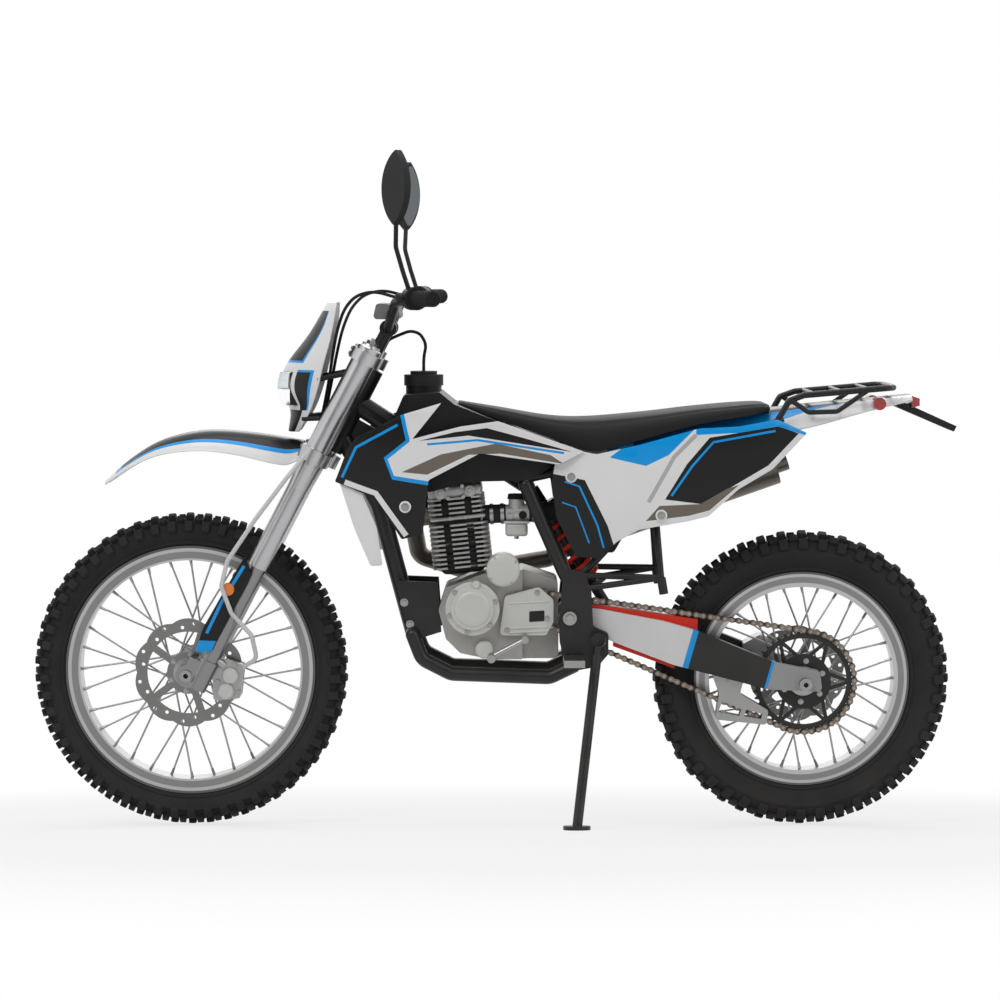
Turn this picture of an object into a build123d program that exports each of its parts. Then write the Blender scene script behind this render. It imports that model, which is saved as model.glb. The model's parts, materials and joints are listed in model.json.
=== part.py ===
from build123d import *
import os
from functools import cache
from math import sin, cos, tan, radians, degrees, asin, acos, atan2, sqrt, hypot, pi

# Trail and enduro motorcycle, modelled upright and leaned onto its side stand at the end.
# Upright frame: +X to the rear, +Y to the rider's right, +Z up, ground at z = 0, millimetres.

# Stance
LEAN = 8.0
TREAD_CROWN_R = 50.0
TREAD_HALF_W = 15.0

# Steering geometry: the axis passes through the lower bearing seat
STEER_X = -372.0
STEER_Z = 850.0
RAKE = 27.5
FORK_OFFSET = 22.0
AXLE_LEAD = 29.0
FORK_HALF_SPAN = 100.0
HEAD_LENGTH = 205.0

# Wheels
FRONT_TYRE_R = 354.0
FRONT_TYRE_W = 90.0
FRONT_RIM_R = 281.0
FRONT_BED_R = 256.0
REAR_TYRE_R = 334.0
REAR_TYRE_W = 104.0
REAR_RIM_R = 242.0
REAR_BED_R = 216.0
FRONT_LUG_H = 13.0
REAR_LUG_H = 16.0
FRONT_LUGS = 54
REAR_LUGS = 44
LUG_SHARE = 0.46
RIM_HALF_W = 27.0
SPOKE_R = 2.2
SPOKE_PAIRS = 16
DISC_BORE_R = 34.0
HUB_BOSS = 70.0
DISC_Y = 66.0
DISC_T = 4.0
FRONT_DISC_R = 122.0
REAR_DISC_R = 110.0
AXLE_R = 8.5
AXLE_BORE_R = 5.5
BEARING_FIT = 0.08
SIDE_GAP = 0.3

# Rear suspension and final drive
PIVOT_X = 164.0
PIVOT_Z = 481.0
SWINGARM_L = 544.0
CHAIN_Y = -64.0
CHAIN_PITCH = 15.875
CHAIN_W = 17.0
CHAIN_H = 15.0
CHAIN_WAIST = 2.2
FRONT_TEETH = 13
REAR_TEETH = 45
SPROCKET_T = 6.0
DRIVE_X = 106.0
DRIVE_Z = 500.0

# Fork
FORK_UPPER_R = 27.0
FORK_LOWER_R = 24.0
FORK_INNER_R = 20.5
FORK_OUTER_END = -299.0
FORK_TOP = 250.0
LOWER_CLAMP = (-36.0, -6.0)
UPPER_CLAMP = (HEAD_LENGTH + 6.0, HEAD_LENGTH + 32.0)

# Frame
HEAD_R = 27.0
SPINE_R = 24.0
TUBE_R = 16.0
RAIL_R = 11.0
UPRIGHT_Y = 88.0
CRADLE_Y = 72.0
WALL = 4.0
SEAT_GAP = 0.4

# Side stand
STAND_PIVOT = (227.0, -132.0, 435.0)
STAND_REACH = (-50.0, -105.0)
STAND_FOLDED = (0.935, -0.03, 0.356)
STAND_R = 11.0
STEM_R = 15.0
STEM_BORE_R = 9.5

AXIS_UP = Vector(sin(radians(RAKE)), 0, cos(radians(RAKE)))
AXIS_BACK = Vector(cos(radians(RAKE)), 0, -sin(radians(RAKE)))
STEER = Plane(origin=(STEER_X, 0, STEER_Z), x_dir=AXIS_BACK, z_dir=AXIS_UP)

# Front axle: on the leading line of the fork, at the height of the tyre's radius
AXLE_BACK = -(FORK_OFFSET + AXLE_LEAD)
AXLE_DOWN = (FRONT_TYRE_R - STEER_Z - AXLE_BACK * AXIS_BACK.Z) / AXIS_UP.Z
FRONT_AXLE = STEER.from_local_coords((AXLE_BACK, 0, AXLE_DOWN))
REAR_AXLE = Vector(PIVOT_X + sqrt(SWINGARM_L**2 - (PIVOT_Z - REAR_TYRE_R)**2), 0, REAR_TYRE_R)
# Leaning, the bike stands on the left edge of its middle row of tread blocks
FLOOR = -TREAD_HALF_W * sin(radians(LEAN))

REAR_PITCH_R = CHAIN_PITCH / (2 * sin(pi / REAR_TEETH))
FRONT_PITCH_R = CHAIN_PITCH / (2 * sin(pi / FRONT_TEETH))


def side_slab(outline, y_low, y_high, corner=0.0):
    """A side-view outline of (x, z) points, drawn out across the bike."""
    points = [(x, y_low, z) for x, z in outline]
    if corner:
        wire = Wire(FilletPolyline(*points, radius=corner, close=True).edges())
    else:
        wire = Wire(Polyline(*points, close=True).edges())
    return extrude(Face(wire), amount=y_high - y_low, dir=(0, 1, 0))


def plan_band(line, thickness, z_low, z_high):
    """A wall that follows a plan line of (x, y) points, thickened towards the middle of the bike."""
    inner = [(x, y + thickness) for x, y in reversed(line)]
    points = [(x, y, z_low) for x, y in list(line) + inner]
    return extrude(Face(Wire(Polyline(*points, close=True).edges())), amount=z_high - z_low, dir=(0, 0, 1))


def curved_band(line, thickness, z_low, z_high):
    """A wall like plan_band whose plan line is an arc through each three points."""
    outer = [(x, y, z_low) for x, y in line]
    arcs = [ThreePointArc(*outer[i:i + 3]) for i in range(0, len(outer) - 2, 2)]
    back = [arc.moved(Location((0, thickness, 0))) for arc in arcs]
    ends = [Line(arcs[0] @ 0, back[0] @ 0), Line(arcs[-1] @ 1, back[-1] @ 1)]
    return extrude(Face(Wire(arcs + back + ends)), amount=z_high - z_low, dir=(0, 0, 1))


def rod(start, end, radius):
    """A plain round bar between two points."""
    start = Vector(*start)
    end = Vector(*end)
    return Solid.make_cylinder(radius, (end - start).length, Plane(origin=start, z_dir=end - start))


def bent_bar(points, radius, bend):
    """A round bar along straight runs with rounded bends."""
    path = FilletPolyline(*points, radius=bend)
    section = Plane(origin=path @ 0, z_dir=path % 0) * Circle(radius)
    return sweep(section, path=path)


def ring(half_profile, centre):
    """A body turned about the wheel axis from (y, r) points."""
    points = [(0, y, r) for y, r in half_profile]
    face = Face(Wire(Polyline(*points, close=True).edges()))
    return revolve(face, Axis.Y).moved(Location(centre))


def across(x, z, y_low, y_high, radius):
    """A round boss along the bike's width."""
    return rod((x, y_low, z), (x, y_high, z), radius)


def mirrored(shape):
    return shape.mirror(Plane.XZ)


def pair(shape):
    """The piece and its mirror image on the other side."""
    return Compound(list(shape.solids()) + list(mirrored(shape).solids()))


def fused(first, *others):
    shape = first
    for other in others:
        shape = shape + other
    return shape


def on_steer(x, y, z):
    return STEER.from_local_coords((x, y, z))


# Wheels

def rim_profile(rim_r, bed_r):
    """Section of the rim as (y, r): two flanges and a floor between them."""
    w = RIM_HALF_W
    floor_r = bed_r - 2 * WALL
    return [(-w, rim_r), (-w + WALL, rim_r), (-w + WALL, bed_r), (w - WALL, bed_r),
            (w - WALL, rim_r), (w, rim_r), (w, floor_r), (-w, floor_r)]


def lug_ring(tip_r, root_r, y_low, y_high, count, phase):
    """One row of tread blocks as a toothed ring; with no phase, one block stands squarely on the ground."""
    half = pi * LUG_SHARE / count
    foot = half * 1.2
    outline = []
    for i in range(count):
        middle = pi / 2 + 2 * pi * (i + phase) / count
        for turn, r in ((-foot, root_r), (-half, tip_r / cos(half)), (half, tip_r / cos(half)),
                        (foot, root_r)):
            outline.append((r * cos(middle + turn), r * sin(middle + turn)))
    plate = Plane(origin=(0, y_low, 0), x_dir=(1, 0, 0), z_dir=(0, 1, 0))
    toothed = extrude(plate * Polygon(*outline, align=None), amount=y_high - y_low)
    return toothed - across(0, 0, y_low - 1, y_high + 1, root_r - 2)


def tyre(centre, outer_r, width, rim_r, bed_r, lug_h, lugs):
    """Round carcass with a middle row of tread blocks and a lower row on each shoulder."""
    half = width / 2
    floor_r = outer_r - lug_h
    crown_y = 0.8 * half
    crown_drop = TREAD_CROWN_R - sqrt(TREAD_CROWN_R**2 - crown_y**2)
    shoulder_r = floor_r - crown_drop
    crown = ThreePointArc((0, -crown_y, shoulder_r), (0, 0, floor_r), (0, crown_y, shoulder_r))
    bead = RIM_HALF_W - WALL
    wall_r = (shoulder_r + bed_r) / 2
    right = ThreePointArc((0, crown_y, shoulder_r), (0, half - 2, wall_r), (0, bead, bed_r))
    left = ThreePointArc((0, -bead, bed_r), (0, -half + 2, wall_r), (0, -crown_y, shoulder_r))
    base = Line((0, bead, bed_r), (0, -bead, bed_r))
    body = revolve(Face(Wire([crown, right, base, left])), Axis.Y)
    body = body + lug_ring(outer_r, floor_r - 6, -TREAD_HALF_W, TREAD_HALF_W, lugs, 0)
    for side in (-1, 1):
        y_low, y_high = sorted((side * (TREAD_HALF_W + 6), side * (half - 1)))
        body = body + lug_ring(outer_r - crown_drop, shoulder_r - 12, y_low, y_high, lugs, 0.5)
    return body.moved(Location(centre)) - ring(rim_profile(rim_r, bed_r), centre)


def wire_wheel(centre, rim_r, bed_r, left_seat, right_seat):
    """Rim, hub and crossed spokes, with a shoulder each side for a disc or chainwheel."""
    floor_r = bed_r - 2 * WALL
    rim = ring(rim_profile(rim_r, bed_r), centre)
    flange_r = 45.0
    barrel_r = 24.0
    flange_y = 34.0
    lip = 6.0
    bore_r = AXLE_R + BEARING_FIT
    seat_r = DISC_BORE_R
    shoulder_r = seat_r + 12
    left_end = left_seat + DISC_T
    right_end = right_seat + DISC_T
    hub = ring([(-HUB_BOSS, bore_r), (-HUB_BOSS, 20), (-left_end, seat_r), (-left_seat, seat_r),
                (-left_seat, shoulder_r), (-left_seat + lip, shoulder_r), (-left_seat + lip, seat_r),
                (-flange_y - lip, seat_r), (-flange_y - lip, flange_r), (-flange_y, flange_r),
                (-flange_y + lip, barrel_r),
                (flange_y - lip, barrel_r), (flange_y, flange_r), (flange_y + lip, flange_r),
                (flange_y + lip, seat_r), (right_seat - lip, seat_r), (right_seat - lip, shoulder_r),
                (right_seat, shoulder_r), (right_seat, seat_r), (right_end, seat_r),
                (HUB_BOSS, 20), (HUB_BOSS, bore_r)], centre)
    spokes = []
    root_r = flange_r - 4
    for side in (-1, 1):
        for i in range(SPOKE_PAIRS):
            turn = 360.0 * i / SPOKE_PAIRS + (0 if side < 0 else 180.0 / SPOKE_PAIRS)
            cross = 62.0 if i % 2 else -62.0
            a = radians(turn)
            b = radians(turn + cross)
            start = (root_r * cos(b), side * (flange_y + lip / 2), root_r * sin(b))
            end = ((floor_r + 2) * cos(a), side * 6.0, (floor_r + 2) * sin(a))
            spokes.append(rod(start, end, SPOKE_R))
    hub = hub + [s.moved(Location(centre)) for s in spokes]
    return hub + rim


def disc(centre, y, radius, inner_r):
    """Brake disc with a waved rim, rows of holes and an open carrier."""
    arms = 5
    waves = 10
    dip = 7.0
    blade_r = radius - 30
    hole_r = 4.0
    plate = Plane(origin=(0, y - DISC_T / 2, 0), x_dir=(1, 0, 0), z_dir=(0, 1, 0))

    def at(turn, r):
        return plate.from_local_coords((r * cos(turn), r * sin(turn), 0))

    step = 2 * pi / waves
    lobes = [ThreePointArc(at(i * step, radius - dip), at((i + 0.5) * step, radius),
                           at((i + 1) * step, radius - dip))
             for i in range(waves)]
    blade = extrude(Face(Wire(lobes)), amount=DISC_T, dir=(0, 1, 0))
    cuts = [across(0, 0, y - DISC_T, y + DISC_T, blade_r)]
    for i in range(waves):
        for turn, r in ((0.3, radius - 20), (0.7, radius - 11)):
            spot = at((i + turn) * step, r)
            cuts.append(across(spot.X, spot.Z, y - DISC_T, y + DISC_T, hole_r))
    blade = blade - cuts
    carrier = across(0, 0, y - DISC_T / 2, y + DISC_T / 2, inner_r + 14)
    for i in range(arms):
        a = 2 * pi * i / arms
        arm = Box(blade_r - inner_r, DISC_T, 16).moved(Location(((blade_r + inner_r + 8) / 2, y, 0)))
        carrier = carrier + arm.rotate(Axis.Y, degrees(a))
    whole = blade + carrier - across(0, 0, y - DISC_T, y + DISC_T, inner_r)
    return whole.moved(Location(centre))


def rear_sprocket():
    """Chainwheel with its teeth just inside the chain's rollers."""
    roller_r = 5.1
    clear = 0.6
    root_r = REAR_PITCH_R - roller_r - clear
    tip_r = REAR_PITCH_R + 1.5
    hole_r = 30.0
    profile = []
    for i in range(REAR_TEETH):
        middle = 2 * pi * i / REAR_TEETH
        for offset, r in ((-0.28, root_r), (-0.07, tip_r), (0.07, tip_r), (0.28, root_r)):
            a = middle + offset * 2 * pi / REAR_TEETH
            profile.append((r * cos(a), r * sin(a)))
    plate = Plane(origin=(0, CHAIN_Y - SPROCKET_T / 2, 0), x_dir=(1, 0, 0), z_dir=(0, 1, 0))
    wheel = extrude(plate * Polygon(*profile, align=None), amount=SPROCKET_T)
    wheel = wheel - across(0, 0, CHAIN_Y - SPROCKET_T, CHAIN_Y + SPROCKET_T, DISC_BORE_R)
    windows = 6
    for i in range(windows):
        a = 2 * pi * i / windows
        wheel = wheel - across(74 * cos(a), 74 * sin(a), CHAIN_Y - SPROCKET_T, CHAIN_Y + SPROCKET_T,
                               hole_r / 2 + 5)
    return wheel.moved(Location((REAR_AXLE.X, 0, REAR_AXLE.Z)))


def chain_slope():
    """Slope of the line between the sprockets' centres, and how far each run opens from it."""
    dx = REAR_AXLE.X - DRIVE_X
    dz = REAR_AXLE.Z - DRIVE_Z
    return atan2(dz, dx), asin((REAR_PITCH_R - FRONT_PITCH_R) / hypot(dx, dz))


def on_drive(angle, grow):
    radius = FRONT_PITCH_R + grow
    return (DRIVE_X + radius * cos(angle), CHAIN_Y, DRIVE_Z + radius * sin(angle))


def on_chainwheel(angle, grow):
    radius = REAR_PITCH_R + grow
    return (REAR_AXLE.X + radius * cos(angle), CHAIN_Y, REAR_AXLE.Z + radius * sin(angle))


def chain_face(grow):
    """Side of the loop, grown or shrunk from the line through the rollers."""
    slope, taper = chain_slope()
    top = slope + pi / 2 + taper
    low = slope - pi / 2 - taper
    upper = Line(on_drive(top, grow), on_chainwheel(top, grow))
    rear = ThreePointArc(upper @ 1, on_chainwheel(slope, grow), on_chainwheel(low, grow))
    lower = Line(rear @ 1, on_drive(low, grow))
    front = ThreePointArc(lower @ 1, on_drive(slope + pi, grow), upper @ 0)
    return Face(Wire([upper, rear, lower, front]))


def upper_run_height(x, grow):
    """Height of the upper run at x."""
    slope, taper = chain_slope()
    start = on_drive(slope + pi / 2 + taper, grow)
    end = on_chainwheel(slope + pi / 2 + taper, grow)
    return start[2] + (end[2] - start[2]) * (x - start[0]) / (end[0] - start[0])


def chain_at(s, grow):
    """The point a given way along the loop from the drive's upper tangent, grown from the roller line."""
    slope, taper = chain_slope()
    top = slope + pi / 2 + taper
    low = slope - pi / 2 - taper
    upper = Vector(*on_chainwheel(top, grow)) - Vector(*on_drive(top, grow))
    lower = Vector(*on_drive(low, grow)) - Vector(*on_chainwheel(low, grow))
    rear_wrap = (pi + 2 * taper) * REAR_PITCH_R
    if s < upper.length:
        return Vector(*on_drive(top, grow)) + upper.normalized() * s
    s = s - upper.length
    if s < rear_wrap:
        return Vector(*on_chainwheel(top - s / REAR_PITCH_R, grow))
    s = s - rear_wrap
    if s < lower.length:
        return Vector(*on_chainwheel(low, grow)) + lower.normalized() * s
    return Vector(*on_drive(low - (s - lower.length) / FRONT_PITCH_R, grow))


def drive_chain():
    """The chain round both sprockets as one band, full at each pin and waisted between pins."""
    slope, taper = chain_slope()
    span = hypot(REAR_AXLE.X - DRIVE_X, REAR_AXLE.Z - DRIVE_Z)
    total = 2 * span * cos(taper) + (pi + 2 * taper) * REAR_PITCH_R + (pi - 2 * taper) * FRONT_PITCH_R
    links = 2 * round(total / CHAIN_PITCH / 2)
    step = total / links / 2
    heights = [CHAIN_H / 2 - (k % 2) * CHAIN_WAIST for k in range(2 * links)]
    rim = [chain_at(k * step, heights[k]) for k in range(2 * links)]
    bore = [chain_at(k * step, -heights[k]) for k in range(2 * links)]
    outer = extrude(Face(Wire(Polyline(*rim, close=True).edges())), amount=CHAIN_W / 2, dir=(0, 1, 0),
                    both=True)
    inner = extrude(Face(Wire(Polyline(*bore, close=True).edges())), amount=CHAIN_W, dir=(0, 1, 0),
                    both=True)
    groove = extrude(chain_face(2.5), amount=SPROCKET_T / 2 + 1.0, dir=(0, 1, 0), both=True)
    return outer - inner - groove


# Steering assembly

def triple_clamps():
    """Two clamps round the fork legs, and the stem between them."""
    parts = []
    for (low, high), stem_r in ((LOWER_CLAMP, 30.0), (UPPER_CLAMP, 26.0)):
        eye = FORK_UPPER_R + 8
        bridge = Box(52, 2 * FORK_HALF_SPAN, high - low).moved(Location((-FORK_OFFSET / 2, 0,
                                                                         (low + high) / 2)))
        for side in (-1, 1):
            bridge = bridge + Solid.make_cylinder(eye, high - low,
                                                  Plane((-FORK_OFFSET, side * FORK_HALF_SPAN, low)))
        bridge = bridge + Solid.make_cylinder(stem_r, high - low, Plane((0, 0, low)))
        for side in (-1, 1):
            hole = Solid.make_cylinder(FORK_UPPER_R, 400, Plane((-FORK_OFFSET, side * FORK_HALF_SPAN,
                                                                 -200)))
            bridge = bridge - hole.moved(Location((0, 0, low)))
        parts.append(bridge)
    stem = Solid.make_cylinder(STEM_R, UPPER_CLAMP[1] - LOWER_CLAMP[0] + 14, Plane((0, 0, LOWER_CLAMP[0])))
    bore = Solid.make_cylinder(STEM_BORE_R, 80, Plane((0, 0, UPPER_CLAMP[1] + 14 - 60)))
    return STEER * (fused(parts[0], parts[1], stem) - bore)


def fork_tubes():
    """Upper tubes of the upside-down fork, thicker through the clamps."""
    taper_low = LOWER_CLAMP[0] - 8
    profile = [(0, FORK_OUTER_END), (FORK_LOWER_R, FORK_OUTER_END), (FORK_LOWER_R, taper_low - 60),
               (FORK_UPPER_R, taper_low), (FORK_UPPER_R, FORK_TOP - 4), (FORK_UPPER_R - 4, FORK_TOP),
               (0, FORK_TOP)]
    face = Face(Wire(Polyline(*[(x, 0, z) for x, z in profile], close=True).edges()))
    tube = revolve(face, Axis.Z)
    bore = Solid.make_cylinder(FORK_INNER_R, 60, Plane((0, 0, FORK_OUTER_END - 1)))
    tube = tube - bore
    return STEER * pair(tube.moved(Location((-FORK_OFFSET, FORK_HALF_SPAN, 0))))


def fork_lowers():
    """Sliding tubes and the feet that clamp the axle ahead of them."""
    length = AXLE_DOWN
    tube = Solid.make_cylinder(FORK_INNER_R, FORK_OUTER_END + 59 - length,
                               Plane((-FORK_OFFSET, FORK_HALF_SPAN, length)))
    foot_y = FORK_HALF_SPAN - 21
    foot = rod((AXLE_BACK, foot_y, length), (AXLE_BACK, foot_y + 42, length), 24)
    link = Box(AXLE_LEAD + 22, 42, 62).moved(Location(((AXLE_BACK - FORK_OFFSET) / 2, FORK_HALF_SPAN,
                                                       length + 12)))
    collar = Solid.make_cylinder(FORK_INNER_R + 4, 70, Plane((-FORK_OFFSET, FORK_HALF_SPAN, length - 18)))
    hole = rod((AXLE_BACK, 0, length), (AXLE_BACK, 200, length), AXLE_R)
    leg = tube + foot + link + collar - hole
    return STEER * pair(leg)


def front_axle():
    """Hollow spindle with a spacer either side of the hub."""
    outer_y = FORK_HALF_SPAN + 27
    foot_y = FORK_HALF_SPAN - 21
    spacer_y = HUB_BOSS + SIDE_GAP
    axle = across(0, 0, -outer_y, outer_y, AXLE_R)
    for side in (-1, 1):
        axle = axle + across(0, 0, side * spacer_y, side * foot_y, 14)
        axle = axle + across(0, 0, side * (foot_y + 42), side * outer_y, 13)
    axle = axle - across(0, 0, -outer_y, outer_y, AXLE_BORE_R)
    return axle.moved(Location(FRONT_AXLE))


FORK_GUARD = [(-554, 622), (-539, 583), (-548, 560), (-622, 428), (-630, 408), (-666, 408), (-648, 462),
              (-600, 546)]


GUARD_PEGS = [(-620, 440), (-560, 570)]


def fork_guards():
    """Plastic guards outside the sliding tubes."""
    gap = 3.0
    y_in = FORK_HALF_SPAN + FORK_LOWER_R + gap
    shell = side_slab(FORK_GUARD, -y_in - WALL, -y_in, 8)
    peg_in = FORK_HALF_SPAN + FORK_INNER_R / 2
    for x, z in GUARD_PEGS:
        shell = shell + across(x, z, -y_in - 1, -peg_in, 7)
    leg = rod(on_steer(-FORK_OFFSET, -FORK_HALF_SPAN, AXLE_DOWN - 60),
              on_steer(-FORK_OFFSET, -FORK_HALF_SPAN, 0), FORK_INNER_R)
    collar = rod(on_steer(-FORK_OFFSET, -FORK_HALF_SPAN, AXLE_DOWN - 18),
                 on_steer(-FORK_OFFSET, -FORK_HALF_SPAN, AXLE_DOWN + 52), FORK_INNER_R + 4)
    return pair(shell - leg - collar)


# Columns: x, height of the middle, half width, drop of the edges below the middle
FRONT_FENDER = [(-872, 782, 22, 5), (-800, 846, 64, 18), (-690, 889, 76, 36), (-560, 891, 79, 50),
                (-430, 871, 70, 40)]
FENDER_WALL = 6.0


def arch(x, top, half, drop, wall):
    """Cross-section of a crowned sheet: an arc above, and the same arc lower down."""
    over = ThreePointArc((x, -half, top - drop), (x, 0, top), (x, half, top - drop))
    under = ThreePointArc((x, -half, top - drop - wall), (x, 0, top - wall), (x, half, top - drop - wall))
    return Face(Wire([over, Line(over @ 1, under @ 1), under, Line(under @ 0, over @ 0)]))


def front_fender():
    """High beak above the wheel, crowned across, with its sides drawn down."""
    sheet = loft([arch(*section, FENDER_WALL) for section in FRONT_FENDER])
    post_low = on_steer(-FORK_OFFSET, 0, LOWER_CLAMP[0])
    post = side_slab([(post_low.X - 30, post_low.Z + 14), (post_low.X + 12, post_low.Z - 8),
                      (-436, 868), (-500, 884)], -30, 30)
    clamp = STEER * Box(60, 70, 120).moved(Location((-FORK_OFFSET / 2, 0, LOWER_CLAMP[0] + 60)))
    return sheet + post - clamp


BAR_CENTRE_Z = UPPER_CLAMP[1] + 66.0
BAR_R = 11.0
GRIP_R = 17.0
BAR_HALF_W = 400.0


def handlebar_path():
    base = on_steer(-8, 0, BAR_CENTRE_Z)
    half = [(base.X, 70, base.Z), (base.X + 22, 190, 1182), (base.X + 62, 270, 1190),
            (base.X + 108, BAR_HALF_W, 1190)]
    left = [(x, -y, z) for x, y, z in reversed(half)]
    return left + half


@cache
def handlebar():
    """Braced bar on two risers above the upper clamp."""
    bar = bent_bar(handlebar_path(), BAR_R, 40)
    base = on_steer(-8, 0, BAR_CENTRE_Z)
    brace_y = 150.0
    brace = rod((base.X + 8, -brace_y, 1158), (base.X + 8, brace_y, 1158), 6.5)
    for side in (-1, 1):
        top = Vector(base.X, side * 45, base.Z)
        foot = on_steer(-8, side * 45, UPPER_CLAMP[1])
        riser = rod(foot, top, 14) + rod((base.X, side * 45 - 20, base.Z),
                                         (base.X, side * 45 + 20, base.Z), 19)
        bar = bar + riser
    return bar + brace


def grips():
    """Rubber grips over the ends of the bar."""
    path = handlebar_path()
    start = Vector(*path[6])
    end = Vector(*path[7])
    along = (end - start).normalized()
    inner = start + along * 22
    outer = end + along * 4
    grip = rod(inner, outer, GRIP_R) + rod(inner, inner + along * 5, GRIP_R + 8)
    core = rod(start - along * 20, end, BAR_R)
    return pair(grip - core)


MIRROR_H = 158.0
MIRROR_HALF_W = 42.0
MIRROR_T = 16.0
MIRROR_TURN = 52.0


def bar_controls():
    """Lever perches, levers, switch housings and leaf-shaped mirrors on their stalks."""
    path = handlebar_path()
    start = Vector(*path[6])
    end = Vector(*path[7])
    along = (end - start).normalized()
    house = rod(start - along * 12, start + along * 16, 25)
    lever_root = start + along * 2 + Vector(-34, 0, 2)
    lever_tip = end + Vector(-74, -30, 4)
    lever = rod(lever_root, lever_tip, 5.5) + Sphere(8).moved(Location(lever_tip))
    perch = rod(start + along * 2, lever_root, 11)
    stalk_points = [start + Vector(-6, 6, 10), start + Vector(-22, 10, 60), start + Vector(-36, 20, 110),
                    start + Vector(-34, 48, 168)]
    stalk = bent_bar([tuple(p) for p in stalk_points], 5, 30)
    foot = stalk_points[-1]
    tip = foot + Vector(8, 0, MIRROR_H)
    front = ThreePointArc(foot, foot + Vector(-MIRROR_HALF_W, 0, 0.45 * MIRROR_H), tip)
    rear = ThreePointArc(tip, foot + Vector(MIRROR_HALF_W, 0, 0.55 * MIRROR_H), foot)
    leaf = extrude(Face(Wire([front, rear])), amount=MIRROR_T / 2, dir=(0, 1, 0), both=True)
    leaf = leaf.rotate(Axis(tuple(foot), (0, 0, 1)), MIRROR_TURN)
    leaf = leaf.moved(Location((0, 0, -12)))
    return pair(house + perch + lever + stalk + leaf - handlebar())


MASK_WALL = 7.0
LAMP_LOW = 952.0
LAMP_HIGH = 1024.0
LAMP_HALF_W = 62.0
# Columns: height, x of the middle, half width, sweep back of the edges behind the middle
MASK = [(893, -466, 42, 26), (940, -462, 86, 50), (990, -486, 110, 92), (1040, -470, 114, 88),
        (1110, -418, 100, 54), (1181, -376, 62, 22)]


def bow(z, front, half, sweep, wall):
    """Level section of the mask: an arc bowed forward, and the same arc further back."""
    fore = ThreePointArc((front + sweep, -half, z), (front, 0, z), (front + sweep, half, z))
    aft = fore.moved(Location((wall, 0, 0)))
    return Face(Wire([fore, Line(fore @ 1, aft @ 1), aft, Line(aft @ 0, fore @ 0)]))


def headlight_mask():
    """Number-board mask bowed round the fork, with the lamp's opening and straps to the fork tubes."""
    shell = loft([bow(*section, MASK_WALL) for section in MASK])
    window = side_slab([(-540, LAMP_LOW), (-430, LAMP_LOW), (-430, LAMP_HIGH), (-540, LAMP_HIGH)],
                       -LAMP_HALF_W, LAMP_HALF_W)
    shell = shell - window
    for height, front in ((60.0, (-430, -60, 922)), (170.0, (-396, -106, 1011))):
        strap = rod(on_steer(-FORK_OFFSET, -FORK_HALF_SPAN, height), front, 6)
        shell = shell + strap + mirrored(strap)
    legs = STEER * pair(Solid.make_cylinder(FORK_UPPER_R, 400, Plane((-FORK_OFFSET, FORK_HALF_SPAN, -100))))
    return shell - legs


def headlamp():
    """Lamp unit filling the mask's opening, its lens bowed like the mask."""
    half = LAMP_HALF_W - SEAT_GAP
    low = LAMP_LOW + SEAT_GAP
    lens = ThreePointArc((-458, -half, low), (-490, 0, low), (-458, half, low))
    back = Polyline((-458, half, low), (-424, half, low), (-424, -half, low), (-458, -half, low))
    return extrude(Face(Wire([lens, *back.edges()])), amount=LAMP_HIGH - SEAT_GAP - low, dir=(0, 0, 1))


def bar_pad():
    """Foam pad over the bar clamps, with the instrument behind the mask."""
    base = on_steer(-8, 0, BAR_CENTRE_Z)
    pad = side_slab([(base.X - 32, base.Z + 21), (base.X - 24, base.Z + 56), (base.X + 22, base.Z + 52),
                     (base.X + 30, base.Z + 20)], -110, 110, 8)
    return pad - handlebar()


def front_caliper():
    """Two-piston caliper behind the left leg, straddling the disc."""
    x = FRONT_AXLE.X + 92
    z = FRONT_AXLE.Z - 20
    slot = DISC_T / 2 + 5
    body = side_slab([(x - 34, z - 40), (x + 26, z - 34), (x + 34, z + 40), (x - 4, z + 56),
                      (x - 36, z + 20)],
                     -DISC_Y - 30, -DISC_Y + 26, 8)
    body = body - across(FRONT_AXLE.X, FRONT_AXLE.Z, -DISC_Y - slot, -DISC_Y + slot, FRONT_DISC_R + 6)
    bracket = rod((x - 10, -FORK_HALF_SPAN + 4, z + 40), tuple(on_steer(-FORK_OFFSET + 8, -FORK_HALF_SPAN,
                                                                        AXLE_DOWN + 60)), 9)
    return body + bracket - fork_lowers()


def brake_hose():
    """Hose from the lower clamp down the left leg to the caliper."""
    y = -FORK_HALF_SPAN - 34
    route = [(-414, y + 8, 852), (-460, y, 796), (-530, y - 4, 704), (-592, y - 6, 612), (-606, y - 6, 556),
             (-584, y - 6, 496), (-540, y, 446), (-530, y + 14, 392), (-560, y + 34, 372)]
    hose = bent_bar(route, 5, 22) - triple_clamps() - fork_tubes() - front_caliper()
    return max(hose.solids(), key=lambda s: s.volume)


# Main frame

DOWNTUBE = [(-349, 0, 888), (-262, 0, 724), (-186, 0, 440)]
SPINE = [(-318, 0, 958), (-170, 0, 862), (20, 0, 806), (66, 0, 776)]


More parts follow.
